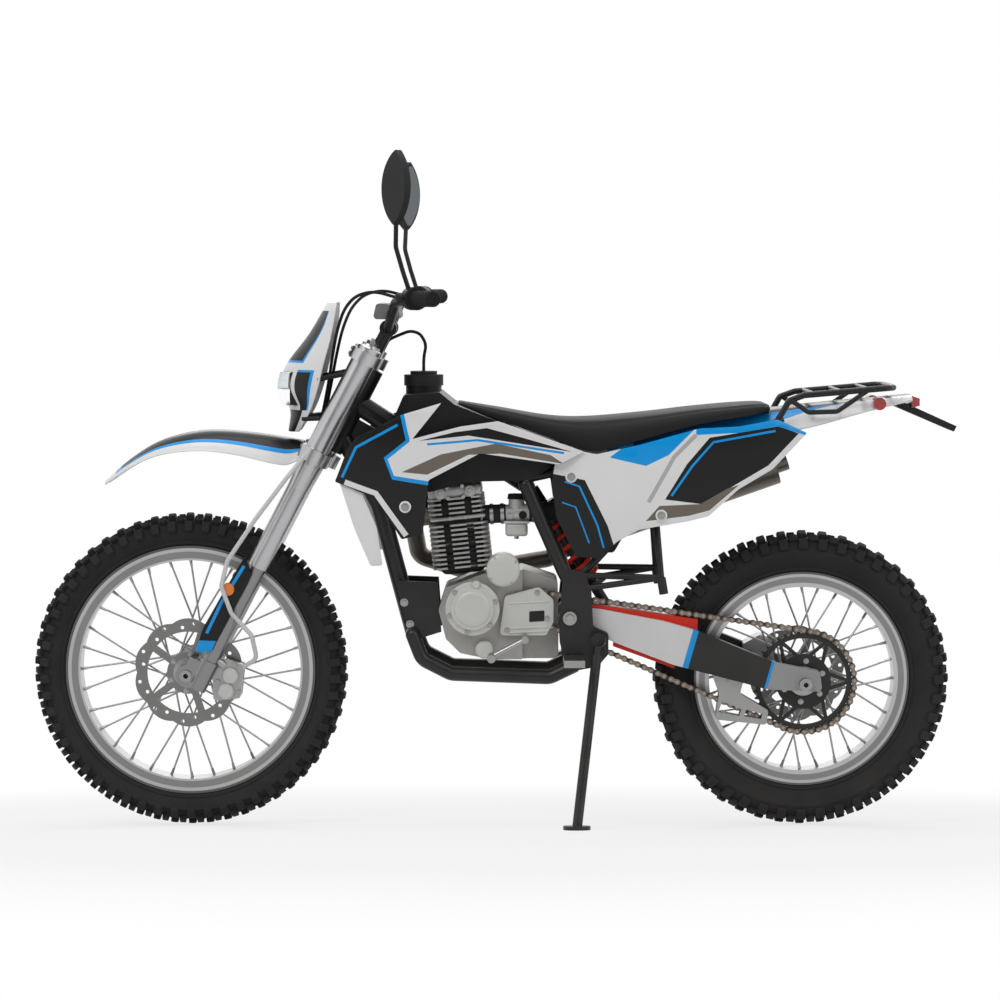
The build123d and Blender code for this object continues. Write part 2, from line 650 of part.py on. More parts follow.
@cache
def frame_spine():
    """Steering head, backbone and the two uprights to the swingarm pivot."""
    head = STEER * Solid.make_cylinder(HEAD_R, HEAD_LENGTH, Plane.XY)
    spine = bent_bar(SPINE, SPINE_R, 120)
    end = SPINE[-1]
    cross = rod((end[0], -UPRIGHT_Y, end[2]), (end[0], UPRIGHT_Y, end[2]), TUBE_R)
    shape = head + spine + cross
    for side in (-1, 1):
        y = side * UPRIGHT_Y
        upright = bent_bar([(end[0], y, end[2]), (150, y, 585), (PIVOT_X + 10, y, PIVOT_Z + 60)], TUBE_R,
                           60)
        shape = shape + upright + Sphere(TUBE_R).moved(Location((end[0], y, end[2])))
    gusset = side_slab([(-330, 930), (-200, 856), (-300, 800), (-352, 868)], -4, 4)
    shape = shape + gusset
    return shape - STEER * Solid.make_cylinder(STEM_R + BEARING_FIT, HEAD_LENGTH + 40, Plane((0, 0, -20)))


@cache
def frame_cradle():
    """Down tube that splits below into two rails under the engine."""
    down = bent_bar(DOWNTUBE, 20, 90)
    foot = DOWNTUBE[-1]
    shape = down + rod((foot[0], -CRADLE_Y, foot[2]), (foot[0], CRADLE_Y, foot[2]), TUBE_R)
    for side in (-1, 1):
        y = side * CRADLE_Y
        rail = bent_bar([(foot[0], y, foot[2]), (-165, y, 385), (-100, y, 352), (120, y, 344),
                         (178, y, 372)], TUBE_R, 34)
        shape = shape + rail + Sphere(TUBE_R).moved(Location((foot[0], y, foot[2])))
    plate = side_slab([(-222, 560), (-130, 556), (-122, 445), (-186, 425), (-200, 480)], -62, -56)
    for x, z in ((-205, 511), (-192, 462)):
        shape = shape + across(x, z, -62, 62, 10)
    shape = shape + plate + mirrored(plate)
    head = STEER * Solid.make_cylinder(HEAD_R, HEAD_LENGTH, Plane.XY)
    return shape - frame_spine() - head


PIVOT_PLATE = [(152, 590), (196, 585), (212, 540), (216, 462), (250, 446), (250, 400), (226, 372),
               (160, 360), (146, 400), (140, 480)]


@cache
def pivot_plates():
    """Plates that hold the swingarm pivot, the foot pegs and the side stand's lug."""
    y_out = UPRIGHT_Y + TUBE_R
    plate = side_slab(PIVOT_PLATE, -y_out, -y_out + 20, 8)
    both = plate + mirrored(plate)
    both = both + across(PIVOT_X, PIVOT_Z, -y_out - 6, y_out + 6, 9)
    for side in (-1, 1):
        both = both + across(PIVOT_X, PIVOT_Z, side * y_out, side * (y_out + 6), 17)
    return both - frame_spine() - frame_cradle()


SUBFRAME_TOP = [(70, 790), (330, 848), (640, 915)]


@cache
def subframe():
    """Seat rails and their stays behind the tank."""
    rails = []
    for side in (-1, 1):
        y = side * 72
        points = [(x, y if x > 100 else side * 64, z) for x, z in SUBFRAME_TOP]
        rail = bent_bar(points, RAIL_R, 200)
        stay = rod((178, side * 80, 560), (470, y, 876), RAIL_R - 2)
        rails.append(rail + stay)
    cross = rod((330, -72, 848), (330, 72, 848), RAIL_R - 2) + rod((620, -72, 911), (620, 72, 911),
                                                                   RAIL_R - 2)
    return fused(rails[0], cross, rails[1]) - frame_spine() - pivot_plates()


# Running gear at the back

ARM_ALONG = (REAR_AXLE - Vector(PIVOT_X, 0, PIVOT_Z)).normalized()


def on_arm(along, up):
    """A side-view point in the arm's own frame: along the line from pivot to axle, and above it."""
    return (PIVOT_X + along * ARM_ALONG.X - up * ARM_ALONG.Z,
            PIVOT_Z + along * ARM_ALONG.Z + up * ARM_ALONG.X)


def arm_outline(points):
    return [on_arm(along, up) for along, up in points]


ARM_END = SWINGARM_L
ARM_SIDE = [(-24, 17), (59, 35), (205, 48), (286, 48), (ARM_END - 70, 27), (ARM_END + 24, 36),
            (ARM_END + 42, -7), (ARM_END - 75, -34), (252, -40), (111, -28), (42, -18), (-8, -22)]
ARM_BRIDGE = [(51, 34), (130, 40), (146, -18), (71, -23)]
ARM_OUT = 106.0
ARM_PLAN = [(PIVOT_X - 30, -74), (PIVOT_X + 166, -86), (PIVOT_X + 396, -ARM_OUT),
            (REAR_AXLE.X + 60, -ARM_OUT)]
ARM_T = 26.0


@cache
def swingarm():
    """Box-section arms, a bridge ahead of the tyre and the pivot boss."""
    arm = side_slab(arm_outline(ARM_SIDE), -160, 0, 10) & plan_band(ARM_PLAN, ARM_T, 100, 700)
    bridge = side_slab(arm_outline(ARM_BRIDGE), -70, 70)
    tyre_room = across(REAR_AXLE.X, REAR_AXLE.Z, -80, 80, REAR_TYRE_R + 12)
    boss = across(PIVOT_X, PIVOT_Z, -74, 74, 24)
    body = arm + mirrored(arm) + (bridge - tyre_room) + boss
    axle_hole = across(REAR_AXLE.X, REAR_AXLE.Z, -200, 200, AXLE_R)
    pivot_hole = across(PIVOT_X, PIVOT_Z, -200, 200, 9)
    return body - axle_hole - pivot_hole


def rear_axle():
    """Hollow spindle with spacers, adjuster blocks and a nut."""
    arm_in = ARM_OUT - ARM_T
    outer_y = ARM_OUT + 20
    spacer_y = HUB_BOSS + SIDE_GAP
    axle = across(0, 0, -outer_y, outer_y, AXLE_R)
    for side in (-1, 1):
        axle = axle + across(0, 0, side * spacer_y, side * arm_in, 15)
        axle = axle + across(0, 0, side * ARM_OUT, side * (outer_y - 2), 14)
    return (axle - across(0, 0, -outer_y, outer_y, AXLE_BORE_R)).moved(Location(REAR_AXLE))


SLIDER_GAP = 1.0
SLIDER_START = 206.0
SLIDER_END = 450.0


def chain_slider():
    """Red rubbing strips over and under the left arm, the upper one just inside the chain."""
    inside = -CHAIN_H / 2 - SLIDER_GAP
    over = [(SLIDER_START, upper_run_height(SLIDER_START, inside)),
            (SLIDER_END, upper_run_height(SLIDER_END, inside)),
            on_arm(285, 40), on_arm(40, 12)]
    strip = side_slab(over, CHAIN_Y - 12, CHAIN_Y + 8)
    under = side_slab(arm_outline([(109, -20), (112, -38), (257, -49), (253, -32)]), CHAIN_Y - 12,
                      CHAIN_Y + 8)
    return Compound(list((strip - swingarm()).solids()) + list((under - swingarm()).solids()))


GUIDE_SIDE = [(-203, -37), (-131, -33), (-131, -63), (-59, -82), (-55, -115), (-168, -134), (-176, -75)]
GUIDE_TIES = [(-154, -118), (-163, -42)]
GUIDE_T = 4.0
GUIDE_GAP = 3.0


def chain_guide():
    """Guide cage under the arm that the lower run passes through."""
    inner_y = CHAIN_W / 2 + GUIDE_GAP
    outer_y = inner_y + GUIDE_T
    outline = arm_outline([(ARM_END + along, up) for along, up in GUIDE_SIDE])
    cage = side_slab(outline, CHAIN_Y - outer_y, CHAIN_Y - inner_y, 6)
    cage = cage + side_slab(outline, CHAIN_Y + inner_y, CHAIN_Y + outer_y, 6)
    for along, up in GUIDE_TIES:
        x, z = on_arm(ARM_END + along, up)
        cage = cage + across(x, z, CHAIN_Y - outer_y, CHAIN_Y + outer_y, 6)
    return cage - swingarm()


SHOCK_Y = 36.0
SHOCK_TOP = (84, SHOCK_Y, 760)
SHOCK_EYE = on_arm(82, 34)
SHOCK_LOW = (SHOCK_EYE[0], SHOCK_Y, SHOCK_EYE[1])
SPRING_R = 31.0


def rear_shock():
    """Spring and damper between the spine and the arm's bridge."""
    top = Vector(*SHOCK_TOP)
    low = Vector(*SHOCK_LOW)
    along = (low - top).normalized()
    damper = rod(top, low, 13)
    length = (low - top).length - 110
    coils = 8
    wire_r = 6.0
    profile = [(0, 0)]
    for i in range(coils):
        profile += [(SPRING_R - 2 * wire_r, i * length / coils), (SPRING_R, (i + 0.3) * length / coils),
                    (SPRING_R, (i + 0.5) * length / coils),
                    (SPRING_R - 2 * wire_r, (i + 0.8) * length / coils)]
    profile += [(SPRING_R - 2 * wire_r, length), (0, length)]
    coil = revolve(Face(Wire(Polyline(*[(r, 0, h) for r, h in profile], close=True).edges())), Axis.Z)
    spring = Plane(origin=top + along * 50, z_dir=along) * coil
    seats = rod(top + along * 42, top + along * 50, SPRING_R + 3)
    seats = seats + rod(low - along * 60, low - along * 52, SPRING_R + 3)
    shape = damper + spring + seats
    return shape - frame_spine() - swingarm()


def rear_caliper():
    """Caliper on the right arm over the rear disc."""
    slot = DISC_T / 2 + 5
    x = REAR_AXLE.X - 92
    z = REAR_AXLE.Z + 40
    body = side_slab([(x - 34, z - 14), (x + 24, z - 34), (x + 44, z + 30), (x + 4, z + 52),
                      (x - 34, z + 30)],
                     DISC_Y - 26, DISC_Y + 30, 8)
    body = body - across(REAR_AXLE.X, REAR_AXLE.Z, DISC_Y - slot, DISC_Y + slot, REAR_DISC_R + 6)
    return body - swingarm()


# Engine

CASE_LEFT = -70.0
CASE_RIGHT = 78.0
CASE_SIDE = [(-112, 545), (-128, 495), (-112, 430), (-80, 398), (-13, 384), (140, 384), (140, 470),
             (138, 560), (60, 585), (-30, 575)]


@cache
def crankcase():
    """Closed engine block between the cradle tubes."""
    case = side_slab(CASE_SIDE, CASE_LEFT, CASE_RIGHT, 12)
    pocket_y = CHAIN_Y + CHAIN_W / 2 + 5
    case = case - Box(200, 80, 300).moved(Location((DRIVE_X - FRONT_PITCH_R - 14 + 100, pocket_y - 40,
                                                    DRIVE_Z)))
    shaft = across(DRIVE_X, DRIVE_Z, pocket_y, CHAIN_Y - SPROCKET_T / 2,
                   FRONT_PITCH_R - CHAIN_H / 2 - SIDE_GAP)
    case = case + shaft
    return case - frame_cradle() - pivot_plates() - frame_spine() - swingarm()


@cache
def engine_covers():
    """Generator and sprocket covers on the left, clutch cover on the right."""
    generator = across(-52, 502, -70, -104, 60) + across(-52, 502, -104, -112, 46)
    starter = across(16, 588, -60, -104, 37)
    sprocket = side_slab([(8, 440), (112, 440), (128, 470), (128, 520), (96, 548), (20, 528)], -86, -77, 10)
    sprocket = sprocket + side_slab([(10, 442), (52, 442), (52, 520), (22, 524)], -80, CASE_LEFT)
    clutch = across(40, 480, 78, 112, 68) + across(-62, 470, 78, 100, 46)
    left = generator + starter
    case = crankcase()
    covers = [left - case, sprocket - case - left, clutch - case]
    return Compound([solid for cover in covers for solid in cover.solids()])


CYLINDER_BASE = (-72, 575)
CYLINDER_TILT = 6.0


@cache
def cylinder():
    """Finned barrel and head, leaning a little forward."""
    base = Vector(CYLINDER_BASE[0], 0, CYLINDER_BASE[1])
    barrel = Box(100, 104, 150, align=(Align.CENTER, Align.CENTER, Align.MIN))
    fins = 10
    for i in range(fins):
        fin = Box(132, 136, 4, align=(Align.CENTER, Align.CENTER, Align.MIN))
        barrel = barrel + fin.moved(Location((0, 0, 14 + i * 10.5)))
    head = Box(112, 112, 76, align=(Align.CENTER, Align.CENTER, Align.MIN)).moved(Location((0, 0, 122)))
    for i in range(4):
        fin = Box(128, 128, 4, align=(Align.CENTER, Align.CENTER, Align.MIN))
        head = head + fin.moved(Location((0, 0, 130 + i * 12)))
    shape = (barrel + head).rotate(Axis.Y, -CYLINDER_TILT).moved(Location(base))
    return shape - crankcase() - engine_covers() - frame_spine() - frame_cradle()


def carburettor():
    """Carburettor and rubber stubs between head and airbox."""
    y = -30.0
    stub = rod((-30, y, 706), (190, y, 716), 20)
    bowl = across(46, 680, y - 22, y + 22, 20) + rod((46, y, 650), (46, y, 752), 22)
    return stub + bowl - cylinder() - airbox() - frame_spine()


AIRBOX_SIDE = [(150, 774), (208, 800), (330, 800), (300, 690), (262, 625), (190, 625), (150, 700)]


@cache
def airbox():
    """Air filter box behind the carburettor."""
    box = side_slab(AIRBOX_SIDE, -82, 82, 10)
    keep = across(REAR_AXLE.X, REAR_AXLE.Z, -90, 90, REAR_TYRE_R + 12)
    shock_room = rod(SHOCK_TOP, SHOCK_LOW, SPRING_R + 10)
    return box - keep - shock_room - frame_spine() - subframe() - pivot_plates()


HEADER = [(-120, 20, 700), (-190, 60, 690), (-176, 100, 600), (-60, 132, 560), (120, 136, 590),
          (300, 150, 690)]
SILENCER = ((290, 150, 684), (640, 158, 806))
SILENCER_R = 46.0
HEADER_R = 20.0
EXHAUST_ROOM = 9.0


def exhaust_line(grow):
    """Pipe and silencer, grown by a clearance where other pieces make room for them."""
    start = Vector(*SILENCER[0])
    end = Vector(*SILENCER[1])
    along = (end - start).normalized()
    tip = rod(end - along * 4, end + along * 30, SILENCER_R / 2 + grow)
    return bent_bar(HEADER, HEADER_R + grow, 34) + rod(start, end + along * grow, SILENCER_R + grow) + tip


def exhaust():
    """Header from the front of the head down the right side, and the high silencer."""
    return exhaust_line(0) - cylinder() - engine_covers() - frame_cradle() - frame_spine() - pivot_plates()


# Bodywork

TANK_SIDE = [(-224, 931), (-204, 976), (-124, 982), (-92, 956), (9, 916), (118, 862), (124, 816),
             (76, 787), (-58, 785), (-149, 761), (-200, 800), (-224, 870)]
TANK_TUNNEL = [(-300, 1000), (-170, 900), (20, 845), (200, 800), (200, 600), (-300, 600)]
CAP_X = -162.0


@cache
def fuel_tank():
    """Plastic tank saddled over the spine."""
    plan_points = [(-230, -70), (-190, -105), (-60, -112), (60, -100), (130, -84),
                   (130, 84), (60, 100), (-60, 112), (-190, 105), (-230, 70)]
    plan = extrude(Face(Wire(Polyline(*[(x, y, 700) for x, y in plan_points], close=True).edges())),
                   amount=400, dir=(0, 0, 1))
    body = side_slab(TANK_SIDE, -130, 130, 8) & plan
    neck = rod((CAP_X, 0, 960), (CAP_X, 0, 994), 40)
    body = body + neck - side_slab(TANK_TUNNEL, -46, 46)
    cylinder_room = Box(150, 150, 300).moved(Location((-90, 0, 650)))
    return body - cylinder_room - frame_spine() - subframe()


CAP_TOP = 1026.0


def tank_cap():
    """Screw cap with a spigot for the vent hose."""
    return rod((CAP_X, 0, 994), (CAP_X, 0, CAP_TOP - 8), 44) + rod((CAP_X, 0, CAP_TOP - 8),
                                                                   (CAP_X, 0, CAP_TOP), 30)


VENT_R = 3.5
VENT_ROUTE = [(CAP_X, 0, CAP_TOP), (CAP_X, 0, 1056), (-156, 0, 1086), (-170, 0, 1110), (-192, 0, 1116),
              (-216, 0, 1107), tuple(on_steer(0, 0, 275)), tuple(on_steer(0, 0, 225))]


def route_radii(points):
    """The largest bend that each corner's two runs allow."""
    radii = []
    for before, at, after in zip(points, points[1:], points[2:]):
        first = Vector(*at) - Vector(*before)
        second = Vector(*after) - Vector(*at)
        half_turn = radians(first.get_angle(second)) / 2
        radii.append(0.45 * min(first.length, second.length) / tan(half_turn))
    return radii


def hose(points, radius):
    """A flexible tube whose bends are as wide as its route allows."""
    path = FilletPolyline(*points, radius=route_radii(points))
    section = Plane(origin=path @ 0, z_dir=path % 0) * Circle(radius)
    return sweep(section, path=path)


def vent_hose():
    """Tank vent: from the cap, over, and down into the hollow steering stem."""
    return hose(VENT_ROUTE, VENT_R)


CABLE_R = 3.5
CABLE_ROUTE = [(-208, -268, 1191), (-262, -236, 1206), (-304, -196, 1196), (-332, -150, 1166),
               (-350, -108, 1118),
               (-362, -78, 1060), (-372, -60, 1000), (-386, -55, 930), tuple(on_steer(-30, -55, -16))]


def bar_cables():
    """Clutch and throttle cables from the perches, behind the mask, to the lower clamp."""
    cable = hose(CABLE_ROUTE, CABLE_R) - bar_controls() - handlebar() - triple_clamps() - headlight_mask()
    return pair(max(cable.solids(), key=lambda s: s.volume))


SHROUD = [(-352, 790), (-323, 864), (-304, 888), (-208, 936), (-119, 962), (-182, 884), (-78, 910),
          (5, 921), (194, 853),
          (139, 825), (-35, 851), (-147, 794), (-160, 675), (-206, 664), (-263, 755), (-321, 779)]
SCOOP = [(-348, 806), (-300, 800), (-290, 760), (-260, 690), (-248, 607), (-274, 605), (-310, 690)]
SHROUD_PLAN = [(-380, -168), (-300, -196), (-180, -190), (0, -152), (200, -132)]


def shrouds():
    """Wide side wings either side of the tank, with a scoop below the front edge."""
    band = curved_band(SHROUD_PLAN, WALL, 550, 1000)
    wing = side_slab(SHROUD, -240, -60, 3) & band
    behind = [(x, y + WALL - 0.5) for x, y in SHROUD_PLAN]
    scoop = side_slab(SCOOP, -240, -60, 3) & curved_band(behind, WALL, 550, 1000)
    post = across(-150, 850, -188, -100, 9)
    hold = across(90, 870, -140, -90, 7)
    tank = fuel_tank()
    return pair(wing + scoop + (post - tank) + (hold - tank))


SEAT_SIDE = [(-83, 964), (9, 945), (110, 927), (189, 924), (324, 934), (459, 949), (605, 958), (598, 938),
             (448, 912), (294, 870), (210, 852), (110, 884), (2, 922)]


@cache
def seat():
    """Long foam seat from the tank to the rear fender."""
    plan_points = [(-90, -50), (0, -72), (120, -96), (260, -118), (420, -122), (560, -112), (612, -80),
                   (612, 80), (560, 112), (420, 122), (260, 118), (120, 96), (0, 72), (-90, 50)]
    plan = extrude(Face(Wire(Polyline(*[(x, y, 800) for x, y in plan_points], close=True).edges())),
                   amount=200, dir=(0, 0, 1))
    body = side_slab(SEAT_SIDE, -130, 130, 6) & plan
    return body - fuel_tank() - subframe()


FRONT_PANEL = [(131, 829), (190, 853), (221, 847), (315, 868), (446, 904), (380, 838), (326, 748),
               (311, 698), (267, 654), (228, 617), (177, 619), (134, 705), (123, 783)]
REAR_PLATE = [(326, 748), (380, 838), (446, 904), (534, 908), (621, 923), (687, 893), (610, 814),
              (534, 770), (468, 711), (424, 700), (315, 681)]
PANEL_PLAN = [(100, -112), (240, -134), (420, -142), (560, -132), (700, -112)]


def side_panels():
    """Panels below the seat, back to the plates; the right one leaves room for the silencer."""
    outline = side_slab(FRONT_PANEL, -220, -60, 3) + side_slab(REAR_PLATE, -220, -60, 3)
    panel = outline & curved_band(PANEL_PLAN, WALL, 550, 1000)
    posts = across(300, 800, -138, -82, 8) + across(520, 892, -136, -70, 8)
    holders = airbox() + subframe() + rear_fender()
    left = panel + (posts - holders)
    right = mirrored(left) - exhaust_line(EXHAUST_ROOM)
    right = max(right.solids(), key=lambda s: s.volume)
    return Compound(list(left.solids()) + [right])


# Columns: x, height of the middle, half width, depth from the middle down to the flat underside
TAIL = [(310, 874, 62, 30), (450, 919, 84, 44), (600, 943, 98, 52), (760, 960, 90, 38), (926, 975, 60, 16)]


@cache
def rear_fender():
    """Tail fairing from under the seat back over the wheel, crowned across."""
    sections = []
    for x, top, half, depth in TAIL:
        over = ThreePointArc((x, -half, top - depth), (x, 0, top), (x, half, top - depth))
        sections.append(Face(Wire([over, Line(over @ 1, over @ 0)])))
    return loft(sections) - subframe() - seat()


def rear_rack():
    """Tubular luggage rack above the tail."""
    y = 104.0
    rail = bent_bar([(611, -y, 900), (647, -y, 964), (680, -y, 976), (866, -y, 992), (880, -y + 24, 992),
                     (880, 0, 992.5)], 7, 10)
    brace = bent_bar([(650, -y, 966), (690, -y, 938), (753, -y, 940), (820, -y, 986)], 5.5, 14)
    half = rail + brace
    shape = half + mirrored(half)
    for x in (700, 760, 820):
        shape = shape + rod((x, -y, 977.6 + (x - 680) * 16 / 186), (x, y, 977.6 + (x - 680) * 16 / 186), 5)
    posts = rod((611, -y, 903), (611, -80, 903), 7)
    return shape + posts + mirrored(posts) - rear_fender() - subframe()


@cache
def tail_lamp():
    """Rear lamp and the two round side reflectors."""
    lamp = side_slab([(926, 945), (926, 972), (944, 966), (944, 950)], -46, 46)
    reflector = across(850, 956, -86, -40, 14)
    lights = lamp - rear_fender()
    dots = pair(reflector - rear_fender())
    return Compound(list(lights.solids()) + list(dots.solids()))


def plate_holder():
    """Bracket for a plate behind the tail."""
    board = side_slab([(884, 966), (900, 962), (1028, 904), (1022, 892), (896, 946)], -40, 40)
    return board - rear_fender() - tail_lamp()


PEG_X = 172.0


def footpegs():
    """Rider pegs on the pivot plates."""
    y_out = UPRIGHT_Y + TUBE_R
    peg = Box(46, 96, 16).moved(Location((PEG_X, -y_out - 58, 392)))
    peg = peg + rod((PEG_X, -y_out, 386), (PEG_X, -y_out - 20, 390), 10)
    return pair(peg - pivot_plates())


def gear_lever():
    """Gear change pedal on the left."""
    shaft = across(64, 436, -70, -140, 8)
    arm = rod((64, -132, 436), (-10, -136, 398), 6)
    toe = across(-10, 398, -128, -170, 9)
    return shaft + arm + toe - crankcase() - engine_covers()


def brake_pedal():
    """Rear brake pedal on the right."""
    y = UPRIGHT_Y + TUBE_R
    shaft = across(150, 372, y - 10, y + 24, 9)
    arm = bent_bar([(150, y + 18, 372), (60, y + 20, 366), (-20, y + 26, 400)], 7, 30)
    pad = across(-20, 400, y + 10, y + 52, 10)
    return shaft + arm + pad - pivot_plates() - frame_cradle()


def passenger_pegs():
    """Triangulated brackets and folded pegs for a passenger."""
    y = 112.0
    knot = (366, -y, 572)
    plate_y = -UPRIGHT_Y - TUBE_R / 2
    bracket = rod(knot, (372, -y, 536), 10)
    for root in ((186, plate_y, 576), (196, plate_y, 546), (352, -80, 748)):
        bracket = bracket + rod(root, knot, 7)
    return pair(bracket - pivot_plates() - subframe())


# Side stand

def stand_vectors():
    """Deployed direction and length, from the lug to the floor under the leaned bike."""
    px, py, pz = STAND_PIVOT
    fx = px + STAND_REACH[0]
    fy = py + STAND_REACH[1]
    lean = radians(LEAN)
    fz = (FLOOR - fy * sin(lean)) / cos(lean)
    foot = Vector(fx, fy, fz)
    return foot, (foot - Vector(*STAND_PIVOT))


STAND_FOOT, STAND_LEG = stand_vectors()
STAND_AXIS = STAND_LEG.normalized().cross(Vector(*STAND_FOLDED).normalized()).normalized()
STAND_SWING = degrees(acos(STAND_LEG.normalized().dot(Vector(*STAND_FOLDED).normalized())))
STAND_EYE_R = 16.0
STAND_EYE_T = 14.0


def side_stand():
    """Leg with its eye on the lug's pin and a flat foot on the floor."""
    pivot = Vector(*STAND_PIVOT)
    along = STAND_LEG.normalized()
    leg = rod(pivot + along * 34, STAND_FOOT - along * 4, STAND_R)
    leg = leg + rod(pivot + along * 10, pivot + along * 40, STAND_EYE_T / 2)
    eye = rod(pivot - STAND_AXIS * (STAND_EYE_T / 2), pivot + STAND_AXIS * (STAND_EYE_T / 2), STAND_EYE_R)
    hole = rod(pivot - STAND_AXIS * 40, pivot + STAND_AXIS * 40, 6 + BEARING_FIT)
    up = Vector(0, sin(radians(LEAN)), cos(radians(LEAN)))
    pad = Solid.make_cylinder(30, 9, Plane(origin=STAND_FOOT, z_dir=up))
    out = Vector(0, cos(radians(LEAN)), -sin(radians(LEAN)))
    corner = STAND_FOOT - up * 60 - Vector(200, 0, 0) - out * 200
    below = Solid.make_box(400, 400, 60, Plane(origin=corner, x_dir=(1, 0, 0), z_dir=up))
    return leg + eye + pad - hole - below


def stand_lug():
    """Pin and fork on the left pivot plate."""
    pivot = Vector(*STAND_PIVOT)
    half = STAND_EYE_T / 2
    pin = rod(pivot - STAND_AXIS * (half + 10), pivot + STAND_AXIS * (half + 10), 6)
    inner = rod(pivot - STAND_AXIS * (half + 0.5), pivot - STAND_AXIS * (half + 10), 15)
    outer = rod(pivot + STAND_AXIS * (half + 0.5), pivot + STAND_AXIS * (half + 6), 11)
    root = pivot - STAND_AXIS * (half + 8)
    arm = rod(root, root - STAND_AXIS * 24, 12)
    return pin + inner + outer + arm - pivot_plates()


def build():
    nodes = {}
    disc_seat = DISC_Y - DISC_T / 2
    chainwheel_seat = -CHAIN_Y - SPROCKET_T / 2
    nodes["front_tyre"] = tyre(FRONT_AXLE, FRONT_TYRE_R, FRONT_TYRE_W, FRONT_RIM_R, FRONT_BED_R,
                               FRONT_LUG_H, FRONT_LUGS)
    nodes["front_rim"] = wire_wheel(FRONT_AXLE, FRONT_RIM_R, FRONT_BED_R, disc_seat, disc_seat)
    nodes["front_disc"] = disc(FRONT_AXLE, -DISC_Y, FRONT_DISC_R, DISC_BORE_R)
    nodes["rear_tyre"] = tyre(REAR_AXLE, REAR_TYRE_R, REAR_TYRE_W, REAR_RIM_R, REAR_BED_R,
                              REAR_LUG_H, REAR_LUGS)
    nodes["rear_rim"] = wire_wheel(REAR_AXLE, REAR_RIM_R, REAR_BED_R, chainwheel_seat, disc_seat)
    nodes["rear_disc"] = disc(REAR_AXLE, DISC_Y, REAR_DISC_R, DISC_BORE_R)
    nodes["rear_sprocket"] = rear_sprocket()
    for make in (triple_clamps, fork_tubes, fork_lowers, front_axle, fork_guards, front_fender, handlebar,
                 grips,
                 bar_controls, headlight_mask, headlamp, bar_pad, front_caliper, brake_hose, frame_spine,
                 frame_cradle, pivot_plates, subframe, swingarm, rear_axle, chain_slider, chain_guide,
                 rear_shock,
                 rear_caliper, crankcase, engine_covers, cylinder, carburettor, airbox, exhaust, fuel_tank,
                 tank_cap, vent_hose, bar_cables, shrouds, seat, side_panels, rear_fender, rear_rack,
                 tail_lamp, plate_holder, footpegs,
                 gear_lever, brake_pedal, passenger_pegs, side_stand, stand_lug, drive_chain):
        nodes[make.__name__] = make()
    return nodes


def placement(nodes):
    """Lean the upright bike to its left and stand its box on the origin."""
    lean = Location((0, 0, 0), (LEAN, 0, 0))
    leaned = Compound([s for shape in nodes.values() for s in shape.moved(lean).solids()])
    box = leaned.bounding_box()
    shift = Location((-(box.min.X + box.max.X) / 2, -(box.min.Y + box.max.Y) / 2, -FLOOR))
    return shift * lean


def main():
    os.makedirs("parts", exist_ok=True)
    nodes = build()
    place = placement(nodes)
    for name, shape in nodes.items():
        export_step(shape.moved(place), f"parts/{name}.step")


if __name__ == "__main__":
    main()
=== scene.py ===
# %% [markdown]
# # Enduro motorcycle
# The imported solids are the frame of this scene: their sizes, places and joints are fixed. This script
# dresses them. Soft, thin and finely repeated pieces are modelled here, and every surface gets its finish.

# %% Load the frame
import bpy
import bmesh
import json
from math import sin, cos, atan2, asin, hypot, radians, pi, sqrt
from mathutils import Matrix, Vector


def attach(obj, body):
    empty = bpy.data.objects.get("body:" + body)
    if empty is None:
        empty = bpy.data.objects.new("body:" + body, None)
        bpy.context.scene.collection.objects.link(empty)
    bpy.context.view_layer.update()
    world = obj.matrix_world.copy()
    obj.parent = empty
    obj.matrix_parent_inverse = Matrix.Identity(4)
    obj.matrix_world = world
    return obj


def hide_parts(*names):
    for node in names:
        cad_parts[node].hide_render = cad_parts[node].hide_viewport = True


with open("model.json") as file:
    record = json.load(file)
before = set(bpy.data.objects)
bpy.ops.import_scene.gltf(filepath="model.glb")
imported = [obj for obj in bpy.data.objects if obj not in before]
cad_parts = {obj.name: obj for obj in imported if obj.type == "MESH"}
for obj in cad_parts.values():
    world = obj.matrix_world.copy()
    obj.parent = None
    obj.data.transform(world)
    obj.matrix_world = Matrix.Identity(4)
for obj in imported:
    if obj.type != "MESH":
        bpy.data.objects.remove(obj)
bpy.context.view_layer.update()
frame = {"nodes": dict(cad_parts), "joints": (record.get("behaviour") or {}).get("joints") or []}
nodes = frame["nodes"]
joints = {joint["name"]: joint for joint in frame["joints"]}
print("solids loaded:", len(nodes))

# %% [markdown]
# The bike parks leaning to its left. It is far easier to draw on an upright bike, so every new piece is
# modelled upright, in millimetres (+X to the rear, +Y to the rider's right, ground at zero), and one matrix
# then leans it. The rear axle is known in both frames, which fixes that matrix.

# %% Upright drawing frame
LEAN = radians(8.0)
MM = 0.001
FRONT_R = 354.0
REAR_R = 334.0
PIVOT = Vector((164.0, 0.0, 481.0))
ARM_LENGTH = 544.0
REAR_AXLE = Vector((PIVOT.x + sqrt(ARM_LENGTH ** 2 - (PIVOT.z - REAR_R) ** 2), 0.0, REAR_R))
STEER_SEAT = Vector((-372.0, 0.0, 850.0))
RAKE = radians(27.5)
AXIS_UP = Vector((sin(RAKE), 0.0, cos(RAKE)))
AXIS_BACK = Vector((cos(RAKE), 0.0, -sin(RAKE)))

tilt = Matrix.Rotation(LEAN, 4, "X")
rear_hub = Vector(joints["rear_wheel_spin"]["pos_m"])
shift = rear_hub - (tilt @ REAR_AXLE) * MM
ROW = Matrix.Translation(shift) @ tilt @ Matrix.Scale(MM, 4)
front_hub = ROW.inverted() @ Vector(joints["front_wheel_spin"]["pos_m"])
FRONT_AXLE = Vector((front_hub.x, 0.0, FRONT_R))
print("front axle, upright frame:", [round(c, 2) for c in front_hub])


